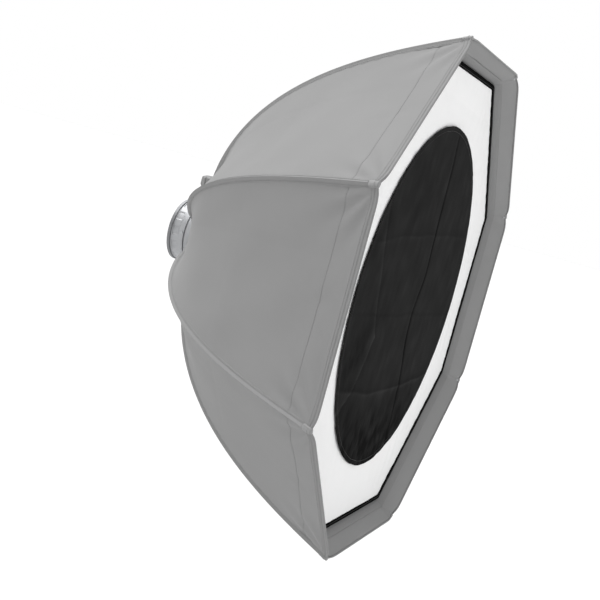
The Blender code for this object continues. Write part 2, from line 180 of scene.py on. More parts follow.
def roundOutline(outline, radius, steps=4):
    # the outline again, with each corner turned into a short arc
    outline = [np.array(p, float) for p in outline]
    out = []
    for i, p in enumerate(outline):
        before, after = outline[i - 1] - p, outline[(i + 1) % len(outline)] - p
        lengthBefore, lengthAfter = np.linalg.norm(before), np.linalg.norm(after)
        reach = min(radius, lengthBefore * 0.45, lengthAfter * 0.45)
        start, end = p + before / lengthBefore * reach, p + after / lengthAfter * reach
        for k in range(steps):
            t = k / (steps - 1)
            out.append((1 - t) ** 2 * start + 2 * t * (1 - t) * p + t * t * end)
    return np.array(out)


def finerOutline(outline, step):
    # more points along the long straight runs, so that a pattern can be pressed into them
    outline = np.asarray(outline, float)
    out = []
    for p, q in zip(outline, np.roll(outline, -1, axis=0)):
        count = max(1, int(math.ceil(np.linalg.norm(q - p) / step)))
        out += [p + (q - p) * k / count for k in range(count)]
    return np.array(out)


def lathe(name, outline, material, body, segments=192, edge=0.5 * mm, centre=(0, 0, 0), upright=False,
          press=None):
    # turns an outline of (radius, height) about the box's axis, or about Z where upright is true;
    # press(angle, radius, height) says how far the surface is pushed in
    outline = roundOutline(outline, edge)
    if press:
        outline = finerOutline(outline, 1.2 * mm)
    angles = evenAngles(segments)
    radius = outline[:, :1] * np.ones_like(angles)
    height = outline[:, 1:] * np.ones_like(angles)
    if press:
        radius = radius - press(angles, radius, height)
    x, y = radius * np.cos(angles), radius * np.sin(angles)
    points = np.stack([x, y, height] if upright else [x, height, y], axis=-1) + np.array(centre)
    return gridMesh(name, points, material, body, around=True, along=True, closed=True, sharp=0.6)


# Cut of one thread stitch; a row of them follows a path that lies on the cloth.
stitchCut = {"pitch": 4.0 * mm, "length": 2.9 * mm, "radius": 0.45 * mm, "sunk": 0.15 * mm}


def stitchRow(path, lift):
    # the stitches of one row, each a short rounded bar; lift points away from the cloth
    along = lengthsAlong(path)
    at = np.arange(stitchCut["pitch"] / 2, along[-1], stitchCut["pitch"])

    def sample(line, where):
        return np.stack([np.interp(where, along, line[:, k]) for k in range(3)], axis=-1)

    centre = sample(path, at)
    up = unit(sample(lift, at))
    forward = unit(sample(path, at + 1 * mm) - sample(path, at - 1 * mm))
    sideways = np.cross(forward, up)
    half, r = stitchCut["length"] / 2, stitchCut["radius"]
    rows = []
    for place, size in ((-1, 0.35), (-0.6, 1.0), (0.6, 1.0), (1, 0.35)):
        middle = centre + forward * half * place + up * (r * size - stitchCut["sunk"])
        for a, b in ((1, 0), (0, 1), (-1, 0), (0, -1)):
            rows.append(middle + sideways * a * r * size + up * b * r * size)
    vertices = np.stack(rows, axis=1)
    base = (np.arange(len(at)) * 16)[:, None]
    faces = []
    for ring in range(3):
        for k in range(4):
            a, b = ring * 4 + k, ring * 4 + (k + 1) % 4
            faces.append(base + np.array([[a, b, b + 4, a + 4]]))
    faces.append(base + np.array([[3, 2, 1, 0]]))
    faces.append(base + np.array([[12, 13, 14, 15]]))
    return vertices.reshape(-1, 3), np.concatenate(faces)


def stitches(name, rows, material, body):
    # one piece of thread made of many stitch rows, each a (path, lift) pair
    vertices, faces, count = [], [], 0
    for path, lift in rows:
        v, f = stitchRow(path, lift)
        vertices.append(v)
        faces.append(f + count)
        count += len(v)
    faces = np.concatenate(faces).tolist()
    return finishMesh(name, np.concatenate(vertices), faces, material, body, closed=True)


def closedFrontRow(name, line, body):
    # black thread in one row that closes on itself, on cloth that faces the front
    line = np.vstack([line, line[:1]])
    return stitches(name, [(line, np.tile([0.0, -1.0, 0.0], (len(line), 1)))], threadBlack, body)


def addNode(tree, kind, settings=None, links=None):
    node = tree.nodes.new(kind)
    for name, value in (settings or {}).items():
        if isinstance(name, int) or name in node.inputs:
            node.inputs[name].default_value = value
        else:
            setattr(node, name, value)
    for name, source in (links or {}).items():
        tree.links.new(source, node.inputs[name])
    return node


def startMaterial(name, settings):
    material = bpy.data.materials.new(name)
    material.use_nodes = True
    shader = material.node_tree.nodes["Principled BSDF"]
    for key, value in settings.items():
        shader.inputs[key].default_value = value
    return material, material.node_tree, shader


def mottled(tree, shader, colour, spread, scale, coordinates, detail=3.0):
    # the base colour, lightened and darkened by a soft noise
    noise = addNode(tree, "ShaderNodeTexNoise", {"Scale": scale, "Detail": detail, "Roughness": 0.55},
                    {"Vector": coordinates})
    ramp = addNode(tree, "ShaderNodeValToRGB", {}, {"Fac": noise.outputs["Fac"]})
    ramp.color_ramp.elements[0].position = 0.25
    ramp.color_ramp.elements[1].position = 0.75
    base = linear(colour)
    ramp.color_ramp.elements[0].color = tuple(c * (1 - spread) for c in base[:3]) + (1.0,)
    ramp.color_ramp.elements[1].color = tuple(min(1.0, c * (1 + spread)) for c in base[:3]) + (1.0,)
    tree.links.new(ramp.outputs["Color"], shader.inputs["Base Color"])


def wovenCloth(name, cut):
    # plain weave: two crossed sets of threads, read from the UV map, which is in metres
    material, tree, shader = startMaterial(name, {
        "Roughness": cut["roughness"], "IOR": 1.5, "Sheen Weight": cut["sheen"], "Sheen Roughness": 0.45,
        "Specular IOR Level": cut.get("specular", 0.35), "Metallic": cut.get("metallic", 0.0)})
    where = addNode(tree, "ShaderNodeTexCoord")
    mottled(tree, shader, cut["colour"], cut["mottle"], cut["mottleScale"], where.outputs["Object"])
    waveScale = 0.314 / cut["thread"]                  # Blender's wave repeats each 0.314 / scale metres
    threads = [addNode(tree, "ShaderNodeTexWave",
                       {"wave_type": "BANDS", "bands_direction": way, "Scale": waveScale},
                       {"Vector": where.outputs["UV"]}) for way in "XY"]
    crossing = addNode(tree, "ShaderNodeMath", {"operation": "MULTIPLY"},
                       {0: threads[0].outputs["Fac"], 1: threads[1].outputs["Fac"]})
    slub = addNode(tree, "ShaderNodeTexNoise", {"Scale": 260.0, "Detail": 2.0},
                   {"Vector": where.outputs["Object"]})
    height = addNode(tree, "ShaderNodeMath", {"operation": "ADD"},
                     {0: crossing.outputs[0], 1: slub.outputs["Fac"]})
    bump = addNode(tree, "ShaderNodeBump", {"Strength": cut["bump"], "Distance": 0.3 * mm},
                   {"Height": height.outputs[0]})
    tree.links.new(bump.outputs["Normal"], shader.inputs["Normal"])
    return material


# Polyester oxford, PU coated: matt, its threads 0.4 mm apart but drawn at 1.6 mm so that they show.
shellCloth = wovenCloth("polyesterOxfordWoven", {
    "colour": "#868686", "roughness": 0.75, "sheen": 0.06, "mottle": 0.03, "mottleScale": 5.0,
    "thread": 1.6 * mm, "bump": 0.12, "specular": 0.12})
# The lip is the same cloth, set a touch lighter as painted light against the shade inside the recess, and
# rougher.
lipClothLightened = wovenCloth("polyesterOxfordLipLightened", {
    "colour": "#909090", "roughness": 0.78, "sheen": 0.05, "mottle": 0.02, "mottleScale": 7.0,
    "thread": 1.6 * mm, "bump": 0.12, "specular": 0.1})
# Webbing on the corners: coarse ribs, lighter where it is rubbed.
webbing = wovenCloth("polypropyleneWebbing", {
    "colour": "#8c8c8c", "roughness": 0.7, "sheen": 0.12, "mottle": 0.08, "mottleScale": 60.0,
    "thread": 2.2 * mm, "bump": 0.3})
# White nylon diffusion cloth: bright and even.
diffuserCloth = wovenCloth("nylonDiffusionCloth", {
    "colour": "#f2f2f2", "roughness": 0.7, "sheen": 0.05, "mottle": 0.012, "mottleScale": 4.0,
    "thread": 1.4 * mm, "bump": 0.06, "specular": 0.2})
# Black polyester taffeta: dark; painted highlight and painted shade along its creases are mixed in below.
discCloth = wovenCloth("polyesterTaffetaBlack", {
    "colour": "#252525", "roughness": 0.62, "sheen": 0.02, "mottle": 0.16, "mottleScale": 12.0,
    "thread": 1.4 * mm, "bump": 0.15, "specular": 0.0})


def addPaintedFoldShading(material, shadeColour, highlightColour):
    # mixes the cloth's colour towards a darker one (painted shade) and a lighter one (painted highlight)
    # along its folds, following the fold shading that makeDisc stores on the cloth
    tree = material.node_tree
    shader = tree.nodes["Principled BSDF"]
    base = shader.inputs["Base Color"].links[0].from_socket
    folds = addNode(tree, "ShaderNodeAttribute", {"attribute_name": "paintedFoldShade"})
    for colour, start, end in ((shadeColour, 0.5, 0.0), (highlightColour, 0.5, 1.0)):
        share = addNode(tree, "ShaderNodeMapRange", {"From Min": start, "From Max": end},
                        {"Value": folds.outputs["Fac"]})
        mix = addNode(tree, "ShaderNodeMix", {"data_type": "RGBA"})
        tree.links.new(share.outputs["Result"], mix.inputs[0])
        tree.links.new(base, mix.inputs[6])
        mix.inputs[7].default_value = linear(colour)
        base = mix.outputs[2]
    tree.links.new(base, shader.inputs["Base Color"])


# painted shade (#101010) and painted highlight (#3c3c3c) along the disc's folds and on its crumpled foot
addPaintedFoldShading(discCloth, "#101010", "#3c3c3c")

# Silver-coated lining: bright and metallic with the weave showing through.
silverCloth = wovenCloth("silverCoatedPolyester", {
    "colour": "#d8d9da", "roughness": 0.34, "sheen": 0.0, "mottle": 0.05, "mottleScale": 20.0,
    "thread": 2.4 * mm, "bump": 0.5, "metallic": 0.85})
# Folded elastic binding: near black, ribbed across its length.
bindingTape = wovenCloth("elasticBindingBlack", {
    "colour": "#0e0e0e", "roughness": 0.6, "sheen": 0.01, "mottle": 0.2, "mottleScale": 40.0,
    "thread": 1.8 * mm, "bump": 0.5, "specular": 0.0})


def fuzzyTape(name, colour, sheen, mottle):
    # hook and loop: no weave to see, only a dense fuzz
    material, tree, shader = startMaterial(name, {
        "Roughness": 0.95, "Sheen Weight": sheen, "Sheen Roughness": 0.6, "Specular IOR Level": 0.05})
    where = addNode(tree, "ShaderNodeTexCoord")
    mottled(tree, shader, colour, mottle, 900.0, where.outputs["Object"], 1.0)
    fuzz = addNode(tree, "ShaderNodeTexVoronoi", {"Scale": 700.0}, {"Vector": where.outputs["Object"]})
    bump = addNode(tree, "ShaderNodeBump", {"Strength": 0.35, "Distance": 0.5 * mm},
                   {"Height": fuzz.outputs["Distance"]})
    tree.links.new(bump.outputs["Normal"], shader.inputs["Normal"])
    return material


def turnedMetal(name, colour, roughness, ridge):
    # fine lathe marks ring the axis, and handling leaves the gloss uneven
    material, tree, shader = startMaterial(name, {"Metallic": 1.0, "Anisotropic": 0.4})
    where = addNode(tree, "ShaderNodeTexCoord")
    mottled(tree, shader, colour, 0.06, 30.0, where.outputs["Object"])
    stretch = addNode(tree, "ShaderNodeMapping", {"Scale": (6.0, 2400.0, 6.0)},
                      {"Vector": where.outputs["Object"]})
    marks = addNode(tree, "ShaderNodeTexNoise", {"Scale": 1.0, "Detail": 3.0},
                    {"Vector": stretch.outputs["Vector"]})
    worn = addNode(tree, "ShaderNodeTexNoise", {"Scale": 45.0, "Detail": 4.0},
                   {"Vector": where.outputs["Object"]})
    gloss = addNode(tree, "ShaderNodeMapRange", {"To Min": roughness * 0.75, "To Max": roughness * 1.35},
                    {"Value": worn.outputs["Fac"]})
    tree.links.new(gloss.outputs["Result"], shader.inputs["Roughness"])
    bump = addNode(tree, "ShaderNodeBump", {"Strength": ridge, "Distance": 0.05 * mm},
                   {"Height": marks.outputs["Fac"]})
    tree.links.new(bump.outputs["Normal"], shader.inputs["Normal"])
    return material


def mouldedPlastic(name, colour, roughness, grain, ior=1.5):
    # spark-eroded mould texture: a fine pebble grain over an even colour
    material, tree, shader = startMaterial(name, {"IOR": ior})
    where = addNode(tree, "ShaderNodeTexCoord")
    mottled(tree, shader, colour, 0.05, 25.0, where.outputs["Object"])
    pebble = addNode(tree, "ShaderNodeTexNoise", {"Scale": 0.45 / grain, "Detail": 2.0},
                     {"Vector": where.outputs["Object"]})
    gloss = addNode(tree, "ShaderNodeMapRange", {"To Min": roughness * 0.85, "To Max": roughness * 1.15},
                    {"Value": pebble.outputs["Fac"]})
    tree.links.new(gloss.outputs["Result"], shader.inputs["Roughness"])
    bump = addNode(tree, "ShaderNodeBump", {"Strength": 0.25, "Distance": 0.2 * mm},
                   {"Height": pebble.outputs["Fac"]})
    tree.links.new(bump.outputs["Normal"], shader.inputs["Normal"])
    return material


ringMetal = turnedMetal("satinAnodisedAluminium", "#b4b5b7", 0.60, 0.15)
# the rim's outer faces take a darker copy of the same aluminium
rimMetalDarker = turnedMetal("aluminiumSetDarkerOnRim", "#929395", 0.62, 0.15)
rodSteel = turnedMetal("drawnSpringSteel", "#b4b6b8", 0.28, 0.15)
knobPlastic = mouldedPlastic("glassFilledNylon", "#848484", 0.42, 0.5 * mm)
socketPlastic = mouldedPlastic("mouldedNylonSocket", "#2c2c2d", 0.5, 0.5 * mm)
acetalPlastic = mouldedPlastic("turnedAcetal", "#dcdbd4", 0.35, 0.8 * mm, 1.48)
gripRubber = mouldedPlastic("nitrileRubber", "#161616", 0.85, 0.9 * mm, 1.52)
hookTape = fuzzyTape("hookTapeBlack", "#101010", 0.05, 0.3)
loopTape = fuzzyTape("brushedLoopTapeGrey", "#8a8a8a", 0.05, 0.06)
threadGrey = mouldedPlastic("polyesterThreadGrey", "#7c7c7c", 0.6, 0.4 * mm)
threadBlack = mouldedPlastic("polyesterThreadBlack", "#141414", 0.55, 0.4 * mm)
print("materials made")


# Viewing angle and distance, in radii of the front octagon's corners.
view = {
    "azimuth": math.radians(-69.39), "elevation": math.radians(6.86), "roll": math.radians(15.04),
    "distance": 4.2333, "aside": -0.4796, "above": 0.0161,
    "lens": 68.6, "sensor": 36.0,
}


def makeCamera():
    a, e, roll = view["azimuth"], view["elevation"], view["roll"]
    back = Vector((math.sin(a) * math.cos(e), -math.cos(a) * math.cos(e), math.sin(e)))
    level = Vector((math.cos(a), math.sin(a), 0.0))
    upright = back.cross(level)
    right = level * math.cos(roll) + upright * math.sin(roll)
    up = upright * math.cos(roll) - level * math.sin(roll)
    place = back * view["distance"] + right * view["aside"] + up * view["above"]
    data = bpy.data.cameras.new("camera")
    data.lens = view["lens"]
    data.sensor_width = view["sensor"]
    camera = bpy.data.objects.new("camera", data)
    camera.matrix_world = Matrix((right, up, back)).transposed().to_4x4()
    camera.location = Vector((0.0, frontY, 0.0)) + place * frontRadius
    bpy.context.scene.collection.objects.link(camera)
    bpy.context.scene.camera = camera


makeCamera()

# Eight gores stretched between bowed rods.
shell = {
    "rearHandle": (0.3336, 0.4122),       # radius, distance behind the front edge
    "frontHandle": (0.4307, 0.1515),
    "thickness": 0.9 * mm,
    "rows": 112, "columns": 49,
    "sag": 5.0 * mm,                      # how far a taut gore draws in between two bowed rods
    "rearSag": 19.0 * mm,                 # and how much more near its rear edge, between two sockets
    "rearSagAt": 0.06, "rearSagReach": 0.16,
    "hemWidth": 13 * mm, "hemStep": 0.9 * mm, "hemGroove": 0.9 * mm,
    "hemStitches": (6.0 * mm, 11.0 * mm),
    "innerSeam": 57 * mm,                 # the line of stitches that holds the lip's tape inside
    "cornerCut": 5.5 * mm, "cornerCutReach": 15 * mm,
    "puff": 0.9 * mm,                     # height of the slow waves in the cloth
    "pucker": 0.35 * mm,                  # of the short waves beside the seams
    "fan": 1.9 * mm,                      # of the folds that fan out of the front corners
    "crease": 0.5 * mm,                   # of the sharp creases that folding leaves
    "innerGroove": 0.4 * mm, "crimp": 0.15 * mm,
}


def seamCurve(t):
    # (radius, y) along the outer seam, from the rear opening at 0 to the front edge at 1
    t = np.asarray(t, float)[..., None]
    knots = [np.array(k) for k in ((rearRadius, rearY - frontY), shell["rearHandle"], shell["frontHandle"],
                                   (frontRadius, 0.0))]
    weights = [(1 - t) ** 3, 3 * t * (1 - t) ** 2, 3 * t * t * (1 - t), t ** 3]
    found = sum(w * k for w, k in zip(weights, knots))
    found[..., 1] += frontY
    return found


def evenParameters(count, start=0.0, end=1.0):
    # seam parameters that lie the same distance apart along the curve
    fine = np.linspace(start, end, 800)
    along = lengthsAlong(seamCurve(fine))
    return np.interp(np.linspace(0, along[-1], count), along, fine), float(along[-1])


goreT, seamLength = evenParameters(shell["rows"])
# A little closer together near the front edge, where the hem and its stitches are.
goreShare = np.linspace(0, 1, shell["rows"])
goreT = np.interp(1 - (1 - goreShare) ** 1.4, goreShare, goreT)
goreLengths = lengthsAlong(seamCurve(goreT)) / seamLength


def goreSag(u, share):
    # how far a gore hangs below its rods; u runs from 0 in its middle to 1 at a seam
    taut = shell["sag"] * (1 - u ** 2) * np.sin(math.pi * share) ** 0.8
    rear = shell["rearSag"] * (1 - np.abs(u) ** 2.2)
    return taut + rear * bell(share - shell["rearSagAt"], shell["rearSagReach"])


def gorePoints(index):
    # the outer face of one gore as points[row, column], with its folds
    profile = seamCurve(goreT)
    radius, y = profile[:, :1], profile[:, 1:]
    along = lengthsAlong(profile)[:, None]
    toFront = along[-1] - along
    u = np.linspace(-1, 1, shell["columns"])
    u = np.sign(u) * np.abs(u) ** 0.8                  # columns crowd towards the seams
    half = radius * math.sin(halfSide) - 0.5 * mm
    x = u * half
    height = radius * math.cos(halfSide) * np.ones_like(u)
    points = np.stack([x, y * np.ones_like(u), height], axis=-1)
    normal = -normalsOf(points)
    normal *= np.sign(normal[..., 2:])
    toSeam = half - np.abs(x)
    share = along / along[-1]
    puff = shell["puff"] * waveField(x, along * np.ones_like(u), 0.16, 20 + index)
    puff = puff * np.clip(toSeam / 0.05, 0, 1) * np.clip(toFront / 0.05, 0.12, 1)
    pucker = shell["pucker"] * np.cos(2 * math.pi * along / 0.021 + 3 * np.sin(along / 0.05) + index)
    pucker = pucker * np.exp(-toSeam / 0.014) * np.clip(toFront / 0.04, 0, 1)
    # Folds that fan out of each front corner, where the rod's tip pulls the cloth tight.
    cornerX = np.sign(x) * half
    apart = np.hypot(x - cornerX, toFront)
    bearing = np.arctan2(toSeam, toFront + 1e-6)
    fan = shell["fan"] * np.cos(bearing * 11.0 + 0.7 * index + np.sign(x)) * bell(apart - 0.055, 0.05)
    fan = fan * np.clip(toSeam / 0.012, 0, 1) * np.clip(toFront / 0.02, 0.15, 1)
    hem = shell["hemStep"] * (0.5 - 0.5 * np.tanh((toFront - shell["hemWidth"]) / (1.0 * mm)))
    hem = hem - shell["hemGroove"] * bell(toFront - 3.6 * mm, 1.1 * mm)
    toInner = toFront - shell["innerSeam"]
    groove = shell["innerGroove"] * bell(toInner, 1.6 * mm)
    crimp = shell["crimp"] * np.cos(2 * math.pi * x / 0.017 + index) * crease(toInner, 0.012)
    creases = crease(x - 0.35 * half, 5 * mm) + crease(along - 0.56 * along[-1], 6 * mm)
    creases = shell["crease"] * creases * np.clip(toSeam / 0.03, 0, 1)
    lift = puff + pucker + fan + hem + crimp - groove - creases - goreSag(u, share)
    points = points + normal * lift[..., None]
    # The edge is drawn back beside each corner, so the pocket stands out.
    cut = shell["cornerCut"] * bell(toSeam, shell["cornerCutReach"]) * np.exp(-toFront / 0.02)
    points[..., 1] += cut
    return points


def gridSample(points, rows, columns):
    rows, columns = np.broadcast_arrays(np.asarray(rows, float), np.asarray(columns, float))
    r0 = np.clip(np.floor(rows).astype(int), 0, points.shape[0] - 2)
    c0 = np.clip(np.floor(columns).astype(int), 0, points.shape[1] - 2)
    fr, fc = (rows - r0)[..., None], (columns - c0)[..., None]
    return ((1 - fr) * (1 - fc) * points[r0, c0] + (1 - fr) * fc * points[r0, c0 + 1] +
            fr * (1 - fc) * points[r0 + 1, c0] + fr * fc * points[r0 + 1, c0 + 1])


goreGrids = {}


def makeGore(index):
    angle = index * 2 * halfSide
    points = turnAboutY(gorePoints(index), angle)
    goreGrids[index] = points
    gore = gridMesh(f"gore{index + 1}", points, [shellCloth, silverCloth], "softbox")
    faceTowards(gore, (-math.sin(angle), 0.0, math.cos(angle)))
    addCloth(gore, shell["thickness"]).material_offset = 1
    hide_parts(f"shell_panel_{index + 1}")
    return gore


def goreStitches(index):
    # two rows along the hem and one further back, each read off the gore's own surface
    points = goreGrids[index]
    normal = normalsOf(points)
    outward = np.array([-math.sin(index * 2 * halfSide), 0.0, math.cos(index * 2 * halfSide)])
    normal = normal * np.sign((normal * outward).sum(-1, keepdims=True))
    middle = points[:, points.shape[1] // 2]
    along = lengthsAlong(middle)
    columns = np.linspace(1.0, points.shape[1] - 2.0, 160)
    rows = []
    for back in (*shell["hemStitches"], shell["innerSeam"]):
        row = np.interp(along[-1] - back, along, np.arange(len(along)))
        rows.append((gridSample(points, row, columns), gridSample(normal, row, columns)))
    return stitches(f"goreStitches{index + 1}", rows, threadGrey, "softbox")


# Binding over each seam, which bulges where the rod lies under it.
seamBand = {"half": 6.8 * mm, "thickness": 0.7 * mm, "crown": 3.4 * mm, "crownReach": 0.30,
            "start": 0.006, "end": 0.972, "rows": 120}
rodInset = {"front": 5.0 * mm, "atSocket": 4.5 * mm}     # how far under the seam, and the extra at its rear
sleeveRun = (0.056, 0.940)                                # where the sleeve runs along the seam curve


def seamFrame(t):
    # corner points in the seam's own plane, with outward normals, before turning to the seam's angle
    t = np.asarray(t, float)
    here = seamCurve(t)
    ahead = unit(seamCurve(np.minimum(t + 1e-3, 1.0)) - seamCurve(np.maximum(t - 1e-3, 0.0)))
    outward = np.stack([-ahead[:, 1], ahead[:, 0]], axis=-1)
    return here, ahead, outward


def besideSeam(here, outward, rise, aside):
    # points off the seam, rise along its outward normal and aside across it
    return np.stack([here[:, 0] + outward[:, 0] * rise, here[:, 1] + outward[:, 1] * rise,
                     aside * np.ones_like(rise)], axis=-1)


def seamFall(t, w):
    # how far the gores have fallen below the seam at a distance w to its side
    here, ahead, _ = seamFrame(t)
    half = here[:, 0] * math.sin(halfSide)
    u = 1 - np.clip(np.abs(w) / half, 0, 1)
    share = np.interp(t, goreT, goreLengths)
    return np.abs(w) * math.tan(halfSide) * np.abs(ahead[:, 1]) + goreSag(u, share)


def makeSeamBand(index):
    angle = (index + 0.5) * 2 * halfSide
    t, _ = evenParameters(seamBand["rows"], seamBand["start"], seamBand["end"])
    here, _, outward = seamFrame(t)
    half, thick, crown = seamBand["half"], seamBand["thickness"], seamBand["crown"]
    across = np.linspace(-1, 1, 15)
    puckered = 1 + 0.05 * np.cos(2 * math.pi * np.arange(len(t)) / 5.3 + index)
    tops, foots = [], []
    for a in across:
        w = a * half * puckered
        ridge = crown * bell(a, seamBand["crownReach"])
        wing = thick * (1 - a ** 8)
        tops.append((w, ridge + wing - seamFall(t, w)))
        foots.append((w, ridge * 0.55 - 0.3 * mm - seamFall(t, w)))
    # radius lies along +X here, and across lies along +Z
    points = np.stack([besideSeam(here, outward, h, w) for w, h in tops + foots[::-1]], axis=1)
    points = turnAboutY(points, angle)
    band = gridMesh(f"seamBand{index + 1}", points, shellCloth, "softbox", around=True, caps=True)
    rows = []
    for side in (-0.74, 0.74):
        w = side * half
        h = thick * 1.02 + crown * bell(side, seamBand["crownReach"]) - seamFall(t, w)
        line = besideSeam(here, outward, h, w)
        lift = np.stack([outward[:, 0], outward[:, 1], 0.35 * np.sign(w) * np.ones_like(h)], axis=-1)
        rows.append((turnAboutY(line, angle), turnAboutY(lift, angle)))
    thread = stitches(f"seamStitches{index + 1}", rows, threadGrey, "softbox")
    return band, thread


def makeRodSleeve(index):
    # the fabric tube round the rod, on the inside of the seam
    angle = (index + 0.5) * 2 * halfSide
    t, _ = evenParameters(90, *sleeveRun)
    here, _, outward = seamFrame(t)
    inset = rodInset["front"] + rodInset["atSocket"] * (1 - t) ** 3
    path = besideSeam(here, outward, -inset, 0.0)
    angles = evenAngles(16)
    gather = 1 + 0.05 * np.cos(2 * math.pi * np.arange(len(t)) / 4.1)[:, None] * np.cos(3 * angles)
    radial = np.stack([outward[:, 0], outward[:, 1], 0 * t], axis=-1)[:, None] * np.sin(angles)[None, :, None]
    sideways = np.array([0.0, 0.0, 1.0]) * np.cos(angles)[None, :, None] * np.ones((len(t), 1, 1))
    outer = path[:, None] + (radial * 3.1 * mm + sideways * 3.4 * mm) * gather[..., None]
    inner = path[:, None] + (radial + sideways) * 2.5 * mm
    points = turnAboutY(np.concatenate([outer, inner[::-1]], axis=0), angle)
    sleeve = gridMesh(f"rodSleeve{index + 1}", points, silverCloth, "softbox", around=True, along=True,
                      closed=True)
    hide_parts(f"rod_sleeve_{index + 1}")


# Corner pockets: doubled webbing sewn over the tip of each rod.
pocket = {"rear": -22 * mm, "front": -3.0 * mm, "half": 5.8 * mm, "rise": 4.6 * mm, "fall": 3.5 * mm,
          "rows": 34, "columns": 40}


def makePocket(index):
    angle = (index + 0.5) * 2 * halfSide
    here, ahead, outward = (part[0] for part in seamFrame(np.array([1.0])))
    middle, reach = (pocket["rear"] + pocket["front"]) / 2, (pocket["front"] - pocket["rear"]) / 2
    # a rounded box: rings from one end to the other, which close in over the ends
    turn = np.linspace(-math.pi / 2, math.pi / 2, pocket["rows"])
    place = middle + reach * np.sign(np.sin(turn)) * np.abs(np.sin(turn)) ** 0.35
    girth = np.maximum(np.abs(np.cos(turn)), 0.02) ** 0.45
    around = evenAngles(pocket["columns"])
    c, s = np.cos(around), np.sin(around)
    across = np.sign(c) * np.abs(c) ** 0.62
    up = np.sign(s) * np.abs(s) ** 0.62
    width = pocket["half"] * girth[:, None] * across
    crown = 1 - 0.35 * across ** 2                      # the sides fall away with the two gores
    lift = np.where(up > 0, pocket["rise"] * crown, pocket["fall"]) * girth[:, None] * up
    lift = lift + 0.25 * mm * np.cos(place[:, None] / (1.4 * mm)) * (up > 0)
    radius = here[0] + ahead[0] * place[:, None] + outward[0] * lift
    y = here[1] + ahead[1] * place[:, None] + outward[1] * lift
    points = turnAboutY(np.stack([radius, y, width], axis=-1), angle)
    boot = gridMesh(f"cornerPocket{index + 1}", points, webbing, "softbox", around=True, caps=True)
    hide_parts(f"corner_pocket_{index + 1}")
    top = pocket["columns"] // 4
    normal = turnAboutY(np.array([outward[0], outward[1], 0.0]), angle) * np.ones((pocket["rows"], 1))
    rows = [(points[6:-6, column], normal[6:-6]) for column in (top - 6, top + 6)]
    for row in (7, pocket["rows"] // 2, pocket["rows"] - 8):
        arc = points[row, top - 6:top + 7]
        rows.append((arc, normal[:len(arc)]))
    thread = stitches(f"pocketStitches{index + 1}", rows, threadGrey, "softbox")
    return boot, thread


# Octagons with rounded corners.
def octagonPath(apothem, rounding, sidePoints=26, cornerPoints=9):
    # points and outward normals, as (x, z), round an octagon whose corners are arcs
    points, normals = [], []
    straight = apothem * math.tan(halfSide) - rounding * math.tan(halfSide)
    for k in range(sides):
        facing = k * 2 * halfSide
        out = np.array([math.cos(facing), math.sin(facing)])
        way = np.array([-out[1], out[0]])
        for s in np.linspace(-1, 1, sidePoints):
            points.append(out * apothem + way * straight * s)
            normals.append(out)
        centre = out * (apothem - rounding) + way * straight
        for a in np.linspace(0, 2 * halfSide, cornerPoints + 2)[1:-1]:
            turn = np.array([math.cos(facing + a), math.sin(facing + a)])
            points.append(centre + turn * rounding)
            normals.append(turn)
    return np.array(points), np.array(normals)


def cornerDistance(x, z, apothem):
    # how far round an octagon each point lies from the nearest corner
    along = np.sqrt(np.clip(x * x + z * z - apothem * apothem, 0, None))
    return np.clip(apothem * math.tan(halfSide) - along, 0, None)


def octagonBand(name, outline, rounding, material, body, sidePoints=26, wobble=None, base=None):
    # sweeps an outline of (apothem, y) round an octagon; base is the apothem it is measured from
    base = base if base is not None else max(p[0] for p in outline)
    path, normal = octagonPath(base, rounding, sidePoints)
    rows = []
    for apothem, y in outline:
        flat = path + normal * (apothem - base)
        rows.append(np.stack([flat[:, 0], np.full(len(flat), y), flat[:, 1]], axis=-1))
    points = np.stack(rows, axis=0)
    if wobble is not None:
        points = wobble(points, normal)
    return gridMesh(name, points, material, body, around=True, along=True, closed=True, sharp=0.9)


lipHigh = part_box("front_lip")[1]
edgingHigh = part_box("diffuser_edging")[1]
lip = {"frontApothem": panelHigh.z - 2.0 * mm, "rearApothem": edgingHigh.z + 1.9 * mm, "rearY": lipHigh.y,
       "rows": 18, "thickness": 0.9 * mm, "rounding": 12 * mm, "wave": 0.8 * mm, "pleat": 0.6 * mm,
       "tipBulge": 8.5 * mm, "tipReach": 8 * mm}


def makeLip():
    # the inward-turned strip between the front edge and the diffuser
    front, normal = octagonPath(lip["frontApothem"], lip["rounding"], 44, 12)
    rear, _ = octagonPath(lip["rearApothem"], lip["rounding"], 44, 12)
    share = np.linspace(0, 1, lip["rows"])[:, None]
    flat = front * (1 - share[..., None]) + rear * share[..., None]
    y = (frontY + 0.6 * mm) * (1 - share) + lip["rearY"] * share
    points = np.stack([flat[..., 0], y * np.ones(flat.shape[1]), flat[..., 1]], axis=-1)
    between = np.sin(math.pi * share)
    wave = lip["wave"] * between * waveField(lengthsAlong(front)[None], share * 0.04, 0.11, 5)
    # Short pleats run in from each corner, where the lip's pieces are seamed.
    toCorner = cornerDistance(front[:, 0], front[:, 1], lip["frontApothem"])
    pleat = lip["pleat"] * np.cos(toCorner / (2.6 * mm)) * np.exp(-toCorner / (14 * mm)) * between
    # Just behind the front edge the lip bends in round the rod's tip.
    roundTip = lip["tipBulge"] * bell(toCorner, lip["tipReach"])
    roundTip = roundTip * np.clip(share * 20, 0, 1) * np.exp(-share / 0.35)
    inward = np.stack([-normal[:, 0], np.zeros(len(normal)), -normal[:, 1]], axis=-1)
    points = points + inward * (wave + pleat + roundTip)[..., None]
    # At the corners the edge is drawn back with the gores.
    points[..., 1] += shell["cornerCut"] * bell(toCorner, shell["cornerCutReach"]) * (1 - share) ** 2
    wall = gridMesh("lipClothLightened", points, lipClothLightened, "softbox", around=True)
    middle = wall.data.polygons[len(wall.data.polygons) // 2].center
    faceTowards(wall, (-middle.x, 0.0, -middle.z))
    addCloth(wall, lip["thickness"])
    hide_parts("front_lip")
    makeHem()
    makeLoopStrip()


hem = {"radius": 1.7 * mm, "rounding": 13 * mm}


